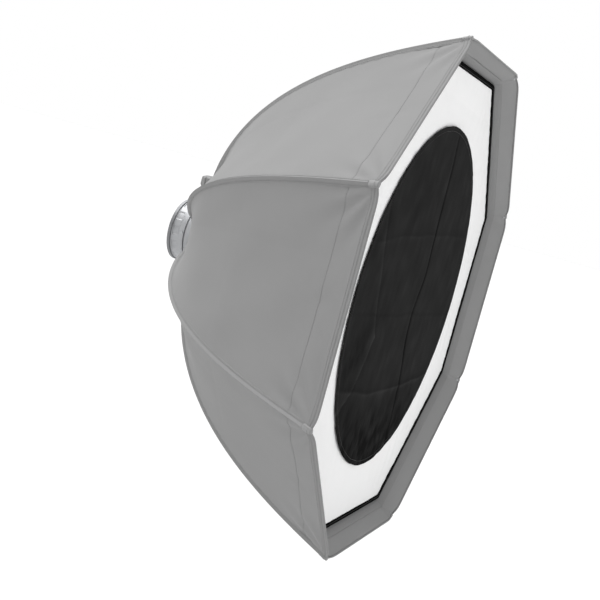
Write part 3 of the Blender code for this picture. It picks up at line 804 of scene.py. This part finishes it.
def makeHem():
    # the rolled front edge, where gores and lip are sewn together
    apothem = panelHigh.z - 1.4 * mm
    outline = [(apothem + hem["radius"] * math.cos(a), frontY + 0.4 * mm + hem["radius"] * math.sin(a))
               for a in evenAngles(14)]

    def drawBack(points, normal):
        toCorner = cornerDistance(points[..., 0], points[..., 2], apothem)
        points[..., 1] += shell["cornerCut"] * bell(toCorner, shell["cornerCutReach"])
        return points

    roll = octagonBand("frontHem", outline, hem["rounding"], shellCloth, "softbox", 40, drawBack, apothem)
    return roll


def makeLoopStrip():
    # brushed tape inside the lip, which the diffuser's edge presses on
    low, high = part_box("loop_strip")
    depth = lip["rearY"] - frontY
    outline = []
    for y, inset in ((high.y, 1.0 * mm), (low.y, 1.0 * mm), (low.y, 1.5 * mm), (high.y, 1.5 * mm)):
        share = (y - frontY) / depth
        outline.append((lip["frontApothem"] * (1 - share) + lip["rearApothem"] * share - inset, y))
    strip = octagonBand("loopStrip", outline, lip["rounding"], loopTape, "softbox")
    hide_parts("loop_strip")
    return strip


# Sheets that span the box.
def octagonSheet(apothem, rounding, y, rings, sidePoints, shape):
    # rings of points from the middle to the edge, with shape(x, z, edge) giving the rise towards the front
    path, _ = octagonPath(apothem, rounding, sidePoints, 10)
    share = (np.linspace(0, 1, rings) ** 0.85)[1:, None]
    x, z = path[None, :, 0] * share, path[None, :, 1] * share
    edge = (1 - share) * apothem * np.ones_like(x)
    rise = shape(x, z, edge)
    points = np.stack([x, y - rise, z], axis=-1)
    centre = np.array([[[0.0, y - float(shape(np.zeros((1, 1)), np.zeros((1, 1)),
                                               np.full((1, 1), apothem))[0, 0]), 0.0]]])
    return points, centre


def sheetMesh(name, points, centre, materials, body, thickness):
    rows, columns = points.shape[:2]
    vertices = np.concatenate([centre.reshape(1, 3), points.reshape(-1, 3)])
    faces = []
    for c in range(columns):
        faces.append([0, 1 + c, 1 + (c + 1) % columns])
    base = 1 + np.arange(rows - 1)[:, None] * columns
    c = np.arange(columns)[None]
    c2 = (c + 1) % columns
    quads = np.stack([base + c, base + columns + c, base + columns + c2, base + c2], axis=-1)
    faces += quads.reshape(-1, 4).tolist()
    uvs = np.array([vertices[i][[0, 2]] for face in faces for i in face])
    piece = finishMesh(name, vertices, faces, materials, body, uvs, sharp=1.2)
    faceTowards(piece, (0.0, -1.0, 0.0))
    addCloth(piece, thickness)
    return piece


diffuser = {"rounding": 11 * mm, "thickness": 0.5 * mm, "rings": 84, "sidePoints": 48, "bulge": 0.5 * mm}


def diffuserShape(x, z, edge):
    around = np.arctan2(z, x)
    # Taut cloth gathers a little where the binding holds it, every 24 mm or so.
    gather = 0.35 * mm * np.cos(around * 0.42 * 2 * math.pi / 0.024 + 2.5 * np.sin(around * 5))
    gather = gather * np.exp(-edge / 0.020) * np.clip(edge / 0.004, 0, 1)
    slow = 0.6 * mm * waveField(x, z, 0.16, 31) * np.clip(edge / 0.04, 0, 1)
    streaks = 0.45 * mm * waveField(x, z * 0.22, 0.030, 32) * np.clip(edge / 0.03, 0, 1)
    folds = 0.0
    for cx in (-0.36, -0.21, 0.21, 0.36):
        folds = folds - 1.0 * mm * crease(x - cx - 0.01 * np.sin(z * 9), 6 * mm)
    for cz in (-0.36, -0.27, 0.27, 0.36):
        folds = folds - 0.8 * mm * crease(z - cz + 0.008 * np.sin(x * 8), 6 * mm)
    folds = folds * np.clip(edge / 0.03, 0, 1)
    behindDisc = softStep(np.hypot(x, z), 0.30, 0.335)       # flat where the disc lies on it
    return (gather + slow + streaks + folds) * (0.15 + 0.85 * behindDisc) + diffuser["bulge"] * behindDisc


def makeDiffuser():
    low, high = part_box("front_diffuser")
    y = (low.y + high.y) / 2
    points, centre = octagonSheet(high.z, diffuser["rounding"], y, diffuser["rings"], diffuser["sidePoints"],
                                  diffuserShape)
    cloth = sheetMesh("diffuserCloth", points, centre, diffuserCloth, "diffuser", diffuser["thickness"])
    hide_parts("front_diffuser")
    band, thread = makeEdging("diffuserBinding", "diffuser_edging", "diffuser", edging["width"],
                              edging["cord"], edging["rounding"])


edging = {"rounding": 12 * mm, "width": 9.5 * mm, "cord": 3.8 * mm}


def edgingOutline(low, high, width, cord):
    # a flat folded tape with a rounder cord along its outer edge
    middle = (low.y + high.y) / 2
    apothem = high.z - cord
    outline = []
    for a in np.linspace(-2.3, 2.3, 13):
        outline.append((apothem + cord * math.cos(a), middle + cord * math.sin(a)))
    flat = 0.75 * cord
    inner = high.z - width
    rear = [(apothem - cord * 0.9, middle + flat), (inner + 0.8 * mm, middle + flat),
            (inner, middle + flat * 0.6)]
    front = [(reach, 2 * middle - y) for reach, y in rear[::-1]]
    return outline + rear + front


def makeEdging(name, node, body, width, cord, rounding):
    low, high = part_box(node)
    outline = edgingOutline(low, high, width, cord)

    def ripple(points, normal):
        steps = np.arange(points.shape[1])
        wave = 0.15 * mm * np.sin(steps * 0.55) + 0.15 * mm * np.sin(steps * 0.23 + 1.0)
        points[..., 1] += wave[None]
        points[..., 0] += normal[None, :, 0] * 0.12 * mm * np.sin(steps * 0.41)[None]
        points[..., 2] += normal[None, :, 1] * 0.12 * mm * np.sin(steps * 0.41)[None]
        return points

    band = octagonBand(name, outline, rounding, bindingTape, body, 40, ripple, high.z)
    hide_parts(node)
    path, _ = octagonPath(high.z - width * 0.72, rounding, 40)
    y = (low.y + high.y) / 2 - 0.78 * cord
    line = np.stack([path[:, 0], np.full(len(path), y), path[:, 1]], axis=-1)
    return band, closedFrontRow(name + "Stitches", line, body)


# The black disc hangs on four hook-and-loop pads.
disc = {"rings": 120, "columns": 420, "thickness": 0.6 * mm, "hem": 9 * mm, "ragged": 0.6 * mm,
        "proud": 3.4 * mm, "rimProud": 1.0 * mm}
# The creases that storage leaves: the points that each runs through, its height and its width.
discFolds = [
    ([(-0.27, 0.215), (-0.250, 0.107), (-0.172, -0.064)], 1.2 * mm, 4 * mm),
    ([(-0.172, -0.064), (-0.203, -0.144), (-0.245, -0.200)], 1.5 * mm, 4 * mm),
    ([(0.030, 0.320), (0.046, 0.131), (0.058, 0.050), (0.036, -0.040), (0.079, -0.156), (0.110, -0.300)],
     -2.0 * mm, 4 * mm),
    ([(-0.310, 0.098), (-0.05, 0.118), (0.290, 0.126)], 0.35 * mm, 4 * mm),
    ([(-0.320, -0.020), (0.0, -0.030), (0.310, -0.038)], -0.35 * mm, 4 * mm),
    ([(-0.290, -0.146), (-0.129, -0.170), (0.072, -0.172), (0.270, -0.165)], 0.9 * mm, 4 * mm),
]
discNicks = (28.0, 51.0, 140.0, 185.0, 223.0, 318.0)      # degrees; where the hem laps over itself


def curvedPath(path, steps=5):
    # a smooth curve through the points
    p = np.array([path[0], *path, path[-1]])
    curve = []
    for a, b, c, d in zip(p, p[1:], p[2:], p[3:]):
        for s in np.arange(steps) / steps:
            bend = 2 * a - 5 * b + 4 * c - d + s * (3 * b - a - 3 * c + d)
            curve.append(b + 0.5 * s * (c - a + s * bend))
    return curve + [p[-1]]


def distanceToPath(x, z, path):
    # distance to the curve through the path, negative on one side of it
    path = curvedPath(path)
    best = np.full(np.shape(x), 1.0)
    for (ax, az), (bx, bz) in zip(path, path[1:]):
        dx, dz = bx - ax, bz - az
        share = np.clip(((x - ax) * dx + (z - az) * dz) / (dx * dx + dz * dz), 0, 1)
        away = np.hypot(x - ax - share * dx, z - az - share * dz)
        side = np.where((x - ax) * dz - (z - az) * dx < 0, -1.0, 1.0)
        best = np.where(away < np.abs(best), away * side, best)
    return best


def paintedFoldShading(x, z):
    # painted highlight and painted shade: each raised fold is painted lighter along one flank and darker
    # along the other, a sunken fold gets a painted dark line with a lighter edge beside it, and the crumpled
    # foot is painted darker; the thin streaks are random tone
    tone = 0.0
    bend = 1.5 * mm * waveField(x, z, 0.16, 55)
    for path, height, width in discFolds:
        away = distanceToPath(x + bend, z + bend, path)
        strength = abs(height) / (2 * mm)
        if height > 0:
            tone = tone + strength * np.tanh(away / (1.2 * mm)) * crease(away, 1.6 * width)
        else:
            tone = tone + strength * (0.3 * crease(away - width, width) - bell(away, 3 * mm))
    streaks = 0.05 * waveField(x, z * 0.25, 0.020, 56) + 0.07 * waveField(x, z * 0.7, 0.05, 57)
    # painted shade: the crumpled foot is painted darker, in patches that follow its crumples
    crumples = 0.35 * waveField(x, z * 0.7, 0.030, 54) + 0.2 * waveField(x, z * 0.5, 0.014, 58) - 0.75
    crumples = slack(x, z) * crumples
    return 0.5 + 0.5 * np.clip(tone + streaks + crumples, -1, 1)


def slack(x, z):
    # the foot hangs slack, so it crumples towards the lower edge and at the lower left
    foot = np.clip((-z - 0.17) / 0.10, 0, 1)
    return np.clip(foot + 0.6 * np.exp(-np.hypot(x + 0.24, z + 0.10) / 0.06), 0, 1)


def discShape(x, z, edge):
    rise = 0.0
    bend = 1.5 * mm * waveField(x, z, 0.16, 55)
    for path, height, width in discFolds:
        away = distanceToPath(x + bend, z + bend, path)
        steep = np.where(away < 0, 0.6, 1.5)            # one flank is steeper than the other
        rise = rise + height * (1.1 * crease(away, width * steep) + 0.5 * crease(away, 5 * width))
    slow = 0.7 * mm * waveField(x, z * 0.7, 0.20, 51)
    fine = 0.20 * mm * waveField(x, z * 0.4, 0.035, 52)
    crumple = 1.2 * mm * waveField(x, z, 0.075, 53) + 0.7 * mm * waveField(x, z * 0.7, 0.030, 54)
    crumple = slack(x, z) * crumple
    hemStep = 0.5 * mm * (0.5 - 0.5 * np.tanh((edge - disc["hem"]) / (1.2 * mm)))
    settle = np.clip(edge / 0.035, 0.2, 1)
    proud = disc["rimProud"] + (disc["proud"] - disc["rimProud"]) * softStep(edge, 0.0, 0.06)
    return (rise + slow + fine + crumple) * settle + hemStep + proud


def makeDisc():
    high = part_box("centre_disc")[1]
    radius = high.z
    angles = evenAngles(disc["columns"])
    share = (np.linspace(0, 1, disc["rings"]) ** 0.8)[1:, None]
    ragged = np.cos(angles * 23 + 1) * 0.4 + np.cos(angles * 41 + 2) * 0.35 + np.cos(angles * 67) * 0.25
    # The hem laps over itself in six places and leaves a small step at each.
    nicks = np.zeros_like(angles)
    for place in discNicks:
        gone = (angles - math.radians(place) + math.pi) % (2 * math.pi) - math.pi
        nicks += 1.8 * mm * bell(gone - 0.012, 0.012) - 1.0 * mm * bell(gone + 0.02, 0.03)
    rim = radius - 0.5 * mm + disc["ragged"] * ragged + nicks
    r = share * rim
    x, z = r * np.cos(angles), r * np.sin(angles)
    edge = (1 - share) * rim
    y = high.y
    points = np.stack([x, y - discShape(x, z, edge), z], axis=-1)
    middle = float(discShape(np.zeros((1, 1)), np.zeros((1, 1)), np.full((1, 1), radius))[0, 0])
    centre = np.array([0.0, y - middle, 0.0])
    cloth = sheetMesh("discCloth", points, centre, discCloth, "disc", disc["thickness"])
    # the painted fold shading, stored on the disc's points
    foldShadeValues = np.concatenate([paintedFoldShading(np.zeros(1), np.zeros(1)), paintedFoldShading(x, z).ravel()])
    layer = cloth.data.attributes.new("paintedFoldShade", "FLOAT", "POINT")
    layer.data.foreach_set("value", foldShadeValues.astype(np.float32))
    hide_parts("centre_disc")
    row = int(np.argmin(np.abs(edge[:, 0] - disc["hem"] + 1.5 * mm)))
    thread = closedFrontRow("discStitches", points[row], "disc")


def makeShell():
    gores = [makeGore(index) for index in range(sides)]
    print("gores made")
    for index in range(sides):
        thread = goreStitches(index)
        band, bandThread = makeSeamBand(index)
        makeRodSleeve(index)
        boot, bootThread = makePocket(index)
    print("seams, sleeves and pockets made")
    profile = seamCurve(np.linspace(0, 1, 400))


# Collar of thin cloth between the gores and the speedring, gathered by an elastic hem.
cuff = {"innerRadius": 60.3 * mm, "innerY": -49.5 * mm, "dip": 3.5 * mm, "rings": 22, "columns": 512,
        "pleats": 88, "pleatDepth": 1.2 * mm, "hemRadius": 1.5 * mm, "thickness": 0.7 * mm}


def goreEdge(angle):
    # (radius, y) of the gores' inner face at the rear opening, at an angle measured from +X
    index = math.floor((angle - math.pi / 2) / (2 * halfSide) + 0.5) % sides
    edge = goreGrids[index][1]
    at = np.arctan2(edge[:, 2], edge[:, 0])
    gone = (at - angle + math.pi) % (2 * math.pi) - math.pi
    order = np.argsort(gone)
    return (float(np.interp(0.0, gone[order], np.hypot(edge[:, 0], edge[:, 2])[order])),
            float(np.interp(0.0, gone[order], edge[order, 1])))


def makeCuff():
    angles = evenAngles(cuff["columns"])
    outer = np.array([goreEdge(a % (2 * math.pi)) for a in angles])
    share = np.linspace(0, 1, cuff["rings"])[:, None]
    radius = cuff["innerRadius"] * (1 - share) + (outer[:, 0] - 1.6 * mm) * share
    innerY = cuff["innerY"] - cuff["dip"] * np.cos(sides * angles)       # it dips between the sockets
    y = innerY * (1 - share ** 1.4) + (outer[:, 1] + 0.4 * mm) * share ** 1.4
    pleats = cuff["pleatDepth"] * np.cos(cuff["pleats"] * angles + 1.5 * np.sin(7 * angles))
    y = y + pleats * (1 - share) ** 0.7 * (0.7 + 0.3 * np.cos(13 * angles))
    points = np.stack([radius * np.cos(angles), y, radius * np.sin(angles)], axis=-1)
    collar = gridMesh("rearCuffCloth", points, shellCloth, "softbox", around=True)
    faceTowards(collar, (0.0, 1.0, 0.0))
    addCloth(collar, cuff["thickness"])
    turn = evenAngles(12)[:, None]
    bead = cuff["hemRadius"] * (1 + 0.10 * np.cos(cuff["pleats"] * angles))
    ring = cuff["innerRadius"] + 1.2 * mm + bead * np.cos(turn)
    hemY = innerY + bead * np.sin(turn)
    hemPoints = np.stack([ring * np.cos(angles), hemY, ring * np.sin(angles)], axis=-1)
    elastic = gridMesh("rearCuffHem", hemPoints, shellCloth, "softbox", around=True, along=True, closed=True)
    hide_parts("rear_cuff")


# White sheet half way down the box, held by tabs at its corners.
baffle = {"rounding": 22 * mm, "thickness": 0.5 * mm, "rings": 60, "tabWidth": 20 * mm,
          "tabFrom": -20 * mm, "tabTo": 3 * mm}      # where a tab starts and ends, from the sheet's corner


def baffleShape(x, z, edge):
    around = np.arctan2(z, x)
    gather = 0.5 * mm * np.cos(around * 90 + 2 * np.sin(around * 5))
    gather = gather * np.exp(-edge / 0.03) * np.clip(edge / 0.006, 0, 1)
    return gather + 1.1 * mm * waveField(x, z, 0.19, 71) * np.clip(edge / 0.04, 0, 1)


def makeBaffle():
    low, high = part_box("inner_baffle")
    points, centre = octagonSheet(high.z, baffle["rounding"], (low.y + high.y) / 2, baffle["rings"], 40,
                                  baffleShape)
    cloth = sheetMesh("baffleCloth", points, centre, diffuserCloth, "softbox", baffle["thickness"])
    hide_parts("inner_baffle")
    band, thread = makeEdging("baffleBinding", "baffle_edging", "softbox", 12 * mm, 1.5 * mm,
                              baffle["rounding"])
    tabs = [makeBaffleTab(index) for index in range(sides)]


def makeBaffleTab(index):
    # a strap from each corner of the sheet to the seam
    low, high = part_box("baffle_edging")
    angle = (index + 0.5) * 2 * halfSide
    corner = high.z / math.cos(halfSide)
    middle = (low.y + high.y) / 2
    along = np.linspace(baffle["tabFrom"], baffle["tabTo"], 24)
    arch = 1.1 * mm * np.sin(np.linspace(0, math.pi, 24))
    across = np.linspace(-1, 1, 9)
    tops, foots = [], []
    for a in across:
        edge = baffle["tabWidth"] / 2 * a * np.ones_like(along)
        tops.append(np.stack([corner + along, middle - 2.6 * mm - arch, edge], axis=-1))
        foots.append(np.stack([corner + along, middle - 1.5 * mm - arch, edge], axis=-1))
    points = turnAboutY(np.stack(tops + foots[::-1], axis=1), angle)
    tab = gridMesh(f"baffleTab{index + 1}", points, bindingTape, "softbox", around=True, caps=True)
    return tab


# Turned metal of the adapter and the speedring.
adapter = {"band": 57.4 * mm, "bandEnd": -23.0 * mm, "rimEnd": -6.5 * mm, "journal": 53.0 * mm,
           "bore": 51.6 * mm, "mouth": 50.4 * mm, "ledge": -3.0 * mm,
           "notches": 12, "notchHalf": 0.125, "notchDepth": 1.3 * mm,
           "notchFrom": -19.5 * mm, "notchTo": -9.5 * mm}


def pressNotches(angles, radius, height):
    # shallow grips pressed into the band, evenly spaced
    pitch = 2 * math.pi / adapter["notches"]
    away = np.abs((angles + pitch / 2) % pitch - pitch / 2)
    across = 1 - softStep(away, adapter["notchHalf"], adapter["notchHalf"] + 0.03)
    along = softStep(height, adapter["notchFrom"] - 1.5 * mm, adapter["notchFrom"])
    along = along * (1 - softStep(height, adapter["notchTo"], adapter["notchTo"] + 1.5 * mm))
    return adapter["notchDepth"] * across * along * (radius > adapter["journal"] + 2 * mm)


def makeAdapter():
    low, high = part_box("adapter_ring")
    rim = high.z
    outline = [
        (rim, 0.0), (rim, adapter["rimEnd"]), (adapter["band"], adapter["rimEnd"]),
        (adapter["band"], adapter["bandEnd"]), (adapter["journal"], adapter["bandEnd"]),
        (adapter["journal"], low.y), (adapter["bore"], low.y), (adapter["bore"], adapter["ledge"]),
        (adapter["mouth"], adapter["ledge"]), (adapter["mouth"], 0.0)]
    ring = lathe("adapterRing", outline, [ringMetal, rimMetalDarker], "adapter", 480, 0.8 * mm, press=pressNotches)
    # faces out on the rim take the darker copy of the aluminium
    for face in ring.data.polygons:
        face.material_index = int(math.hypot(face.center.x, face.center.z) > adapter["band"] + 0.6 * mm)
    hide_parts("adapter_ring")


def pressRibs(angles, radius, height):
    # fine ribs inside the liner, which grip the flash head
    return -0.35 * mm * np.cos(90 * angles) * (radius < adapter["mouth"] + 0.2 * mm)


def makeLiner():
    low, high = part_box("grip_sleeve")
    outline = [(high.z, high.y), (high.z, low.y), (high.z - 1.1 * mm, low.y), (high.z - 1.1 * mm, high.y)]
    liner = lathe("gripLiner", outline, gripRubber, "adapter", 720, 0.3 * mm, press=pressRibs)
    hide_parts("grip_sleeve")


speedring = {"bore": 54.8 * mm, "grooveFrom": -34.0 * mm, "grooveTo": -37.0 * mm, "grooveDepth": 3.5 * mm,
             "bossRadius": 7.5 * mm, "bossFoot": 58.2 * mm, "screwHole": 3.4 * mm, "screws": 8}


def makeSpeedring():
    low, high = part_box("speedring_body")
    radius = -low.z
    foot = radius - speedring["grooveDepth"]
    outline = [
        (radius, high.y), (radius, speedring["grooveFrom"]), (foot, speedring["grooveFrom"]),
        (foot, speedring["grooveTo"]), (radius, speedring["grooveTo"]), (radius, low.y),
        (speedring["bore"], low.y), (speedring["bore"], high.y)]
    ring = lathe("speedringBody", outline, ringMetal, "softbox", 256, 0.6 * mm)
    lockY = (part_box("lock_knob")[0].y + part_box("lock_knob")[1].y) / 2
    outer, hole, bossFoot = speedring["bossRadius"], speedring["screwHole"], speedring["bossFoot"]
    outline = [(outer, high.z), (outer, bossFoot), (hole, bossFoot), (hole, high.z)]
    boss = lathe("lockBoss", outline, ringMetal, "softbox", 64, 0.8 * mm, (0, lockY, 0), True)
    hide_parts("speedring_body")
    # cap screws between the sockets, in the band behind the collar
    for index in range(speedring["screws"]):
        angle = index * 2 * math.pi / speedring["screws"] + 0.01
        if abs(math.cos(angle)) < 0.2 and math.sin(angle) > 0:
            continue                                    # the lock takes this place
        place = turnAboutY(np.array([[radius, -29.0 * mm, 0.0]]), angle)[0]
        makeScrew(f"ringScrew{index + 1}", place, angle)


def makeScrew(name, place, angle):
    # a button-head screw, its axis along the ring's radius
    rings = [(0.0, 0.55), (1.15, 0.55), (1.25, 1.15), (2.1, 1.05), (2.7, 0.6), (2.8, 0.0), (2.6, -1.2)]
    turn = evenAngles(24)
    points = []
    for radius, height in rings:
        x = np.full_like(turn, height)
        points.append(np.stack([x, radius * np.cos(turn), radius * np.sin(turn)], axis=-1) * mm)
    points = turnAboutY(np.array(points), angle) + place
    screw = gridMesh(name, points, rodSteel, "softbox", around=True, caps=True)


knob = {"radius": 16.5 * mm, "flutes": 10, "fluteDepth": 1.5 * mm, "dome": 7.0 * mm, "taper": 3.0 * mm}


def pressFlutes(angles, radius, height):
    grip = np.clip(np.cos(knob["flutes"] * angles), 0, 1) ** 0.6
    return knob["fluteDepth"] * grip * softStep(radius, knob["radius"] * 0.72, knob["radius"] * 0.94)


def makeKnob():
    low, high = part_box("lock_knob")
    centre = (0, (low.y + high.y) / 2, 0)
    radius, taper = knob["radius"], knob["taper"]
    quarter = np.linspace(0.06, math.pi / 2, 12)
    dome = [(radius * math.sin(a), high.z - knob["dome"] * (1 - math.cos(a))) for a in quarter]
    foot = [(radius, low.z + 2.5 * taper), (radius - taper, low.z + taper), (radius - 2 * taper, low.z),
            (3.4 * mm, low.z), (3.4 * mm, high.z - 12 * mm), (0.3 * mm, high.z - 12 * mm)]
    grip = lathe("lockKnob", dome + foot, knobPlastic, "knob", 320, 0.9 * mm, centre, True, press=pressFlutes)
    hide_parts("lock_knob")


def addFinishes():
    # CAD nodes that stay take a turned, drawn or moulded finish
    finishes = {"retaining_ring": rodSteel, "glide_ring": acetalPlastic, "brake_shoe": acetalPlastic,
                "lock_screw": rodSteel}
    for node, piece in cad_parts.items():
        material = finishes.get(node)
        if node.startswith("rod_socket"):
            material = socketPlastic
        elif node.startswith("rod_"):
            material = rodSteel
        elif node.startswith("disc_pad"):
            material = hookTape
        if material:
            piece.data.materials.clear()
            piece.data.materials.append(material)


makeShell()
makeLip()
makeCuff()
makeBaffle()
makeDiffuser()
makeDisc()
print("sheets made")
makeAdapter()
makeLiner()
makeSpeedring()
makeKnob()
addFinishes()
print("turned pieces made")

# Floor, surroundings and lights.
stage = {"size": 60.0, "drop": -1.5}


def makeFloor():
    floor = bpy.data.meshes.new("floor")
    size, drop = stage["size"], stage["drop"]
    corners = [(-size, -size, drop), (size, -size, drop), (size, size, drop), (-size, size, drop)]
    floor.from_pydata(corners, [], [(0, 1, 2, 3)])
    material, tree, shader = startMaterial("palePaintedFloor", {"Roughness": 0.9})
    where = addNode(tree, "ShaderNodeTexCoord")
    mottled(tree, shader, "#d4d4d4", 0.004, 1.5, where.outputs["Object"])
    floor.materials.append(material)
    piece = bpy.data.objects.new("floor", floor)
    bpy.context.scene.collection.objects.link(piece)


# White surroundings up to eye level and a dimmer ceiling, in parts of the way from below (-1) to above (1).
surroundings = {"strength": 1.0, "whiteUpTo": 0.42, "ceilingFrom": 0.72, "ceiling": "#9c9c9c"}


def makeWorld():
    world = bpy.data.worlds.new("studio")
    world.use_nodes = True
    tree = world.node_tree
    where = addNode(tree, "ShaderNodeTexCoord")
    height = addNode(tree, "ShaderNodeSeparateXYZ", {}, {"Vector": where.outputs["Generated"]})
    ramp = addNode(tree, "ShaderNodeValToRGB", {}, {"Fac": height.outputs["Z"]})
    ramp.color_ramp.elements[0].position = surroundings["whiteUpTo"]
    ramp.color_ramp.elements[0].color = (1.0, 1.0, 1.0, 1.0)
    ramp.color_ramp.elements[1].position = surroundings["ceilingFrom"]
    ramp.color_ramp.elements[1].color = linear(surroundings["ceiling"])
    background = tree.nodes["Background"]
    background.inputs["Strength"].default_value = surroundings["strength"]
    tree.links.new(ramp.outputs["Color"], background.inputs["Color"])
    bpy.context.scene.world = world
    bpy.context.scene.view_settings.view_transform = "Standard"


# Broad soft lights, far away: where each comes from, its width in degrees, and its strength.
lights = {
    "topSoft": {"from": (-0.05, 0.30, 0.95), "width": 50.0, "strength": 3.6},
    "frontSoft": {"from": (-0.35, -0.80, 0.45), "width": 30.0, "strength": 0.15},
}


def makeLights():
    for name, light in lights.items():
        data = bpy.data.lights.new(name, "SUN")
        data.angle = math.radians(light["width"])
        data.energy = light["strength"]
        lamp = bpy.data.objects.new(name, data)
        place = Vector(light["from"]).normalized() * 3.0
        lamp.location = place
        lamp.rotation_mode = "QUATERNION"
        lamp.rotation_quaternion = (-place).to_track_quat("-Z", "Y")
        bpy.context.scene.collection.objects.link(lamp)


makeFloor()
makeWorld()
makeLights()
print("stage made")

bpy.context.view_layer.update()
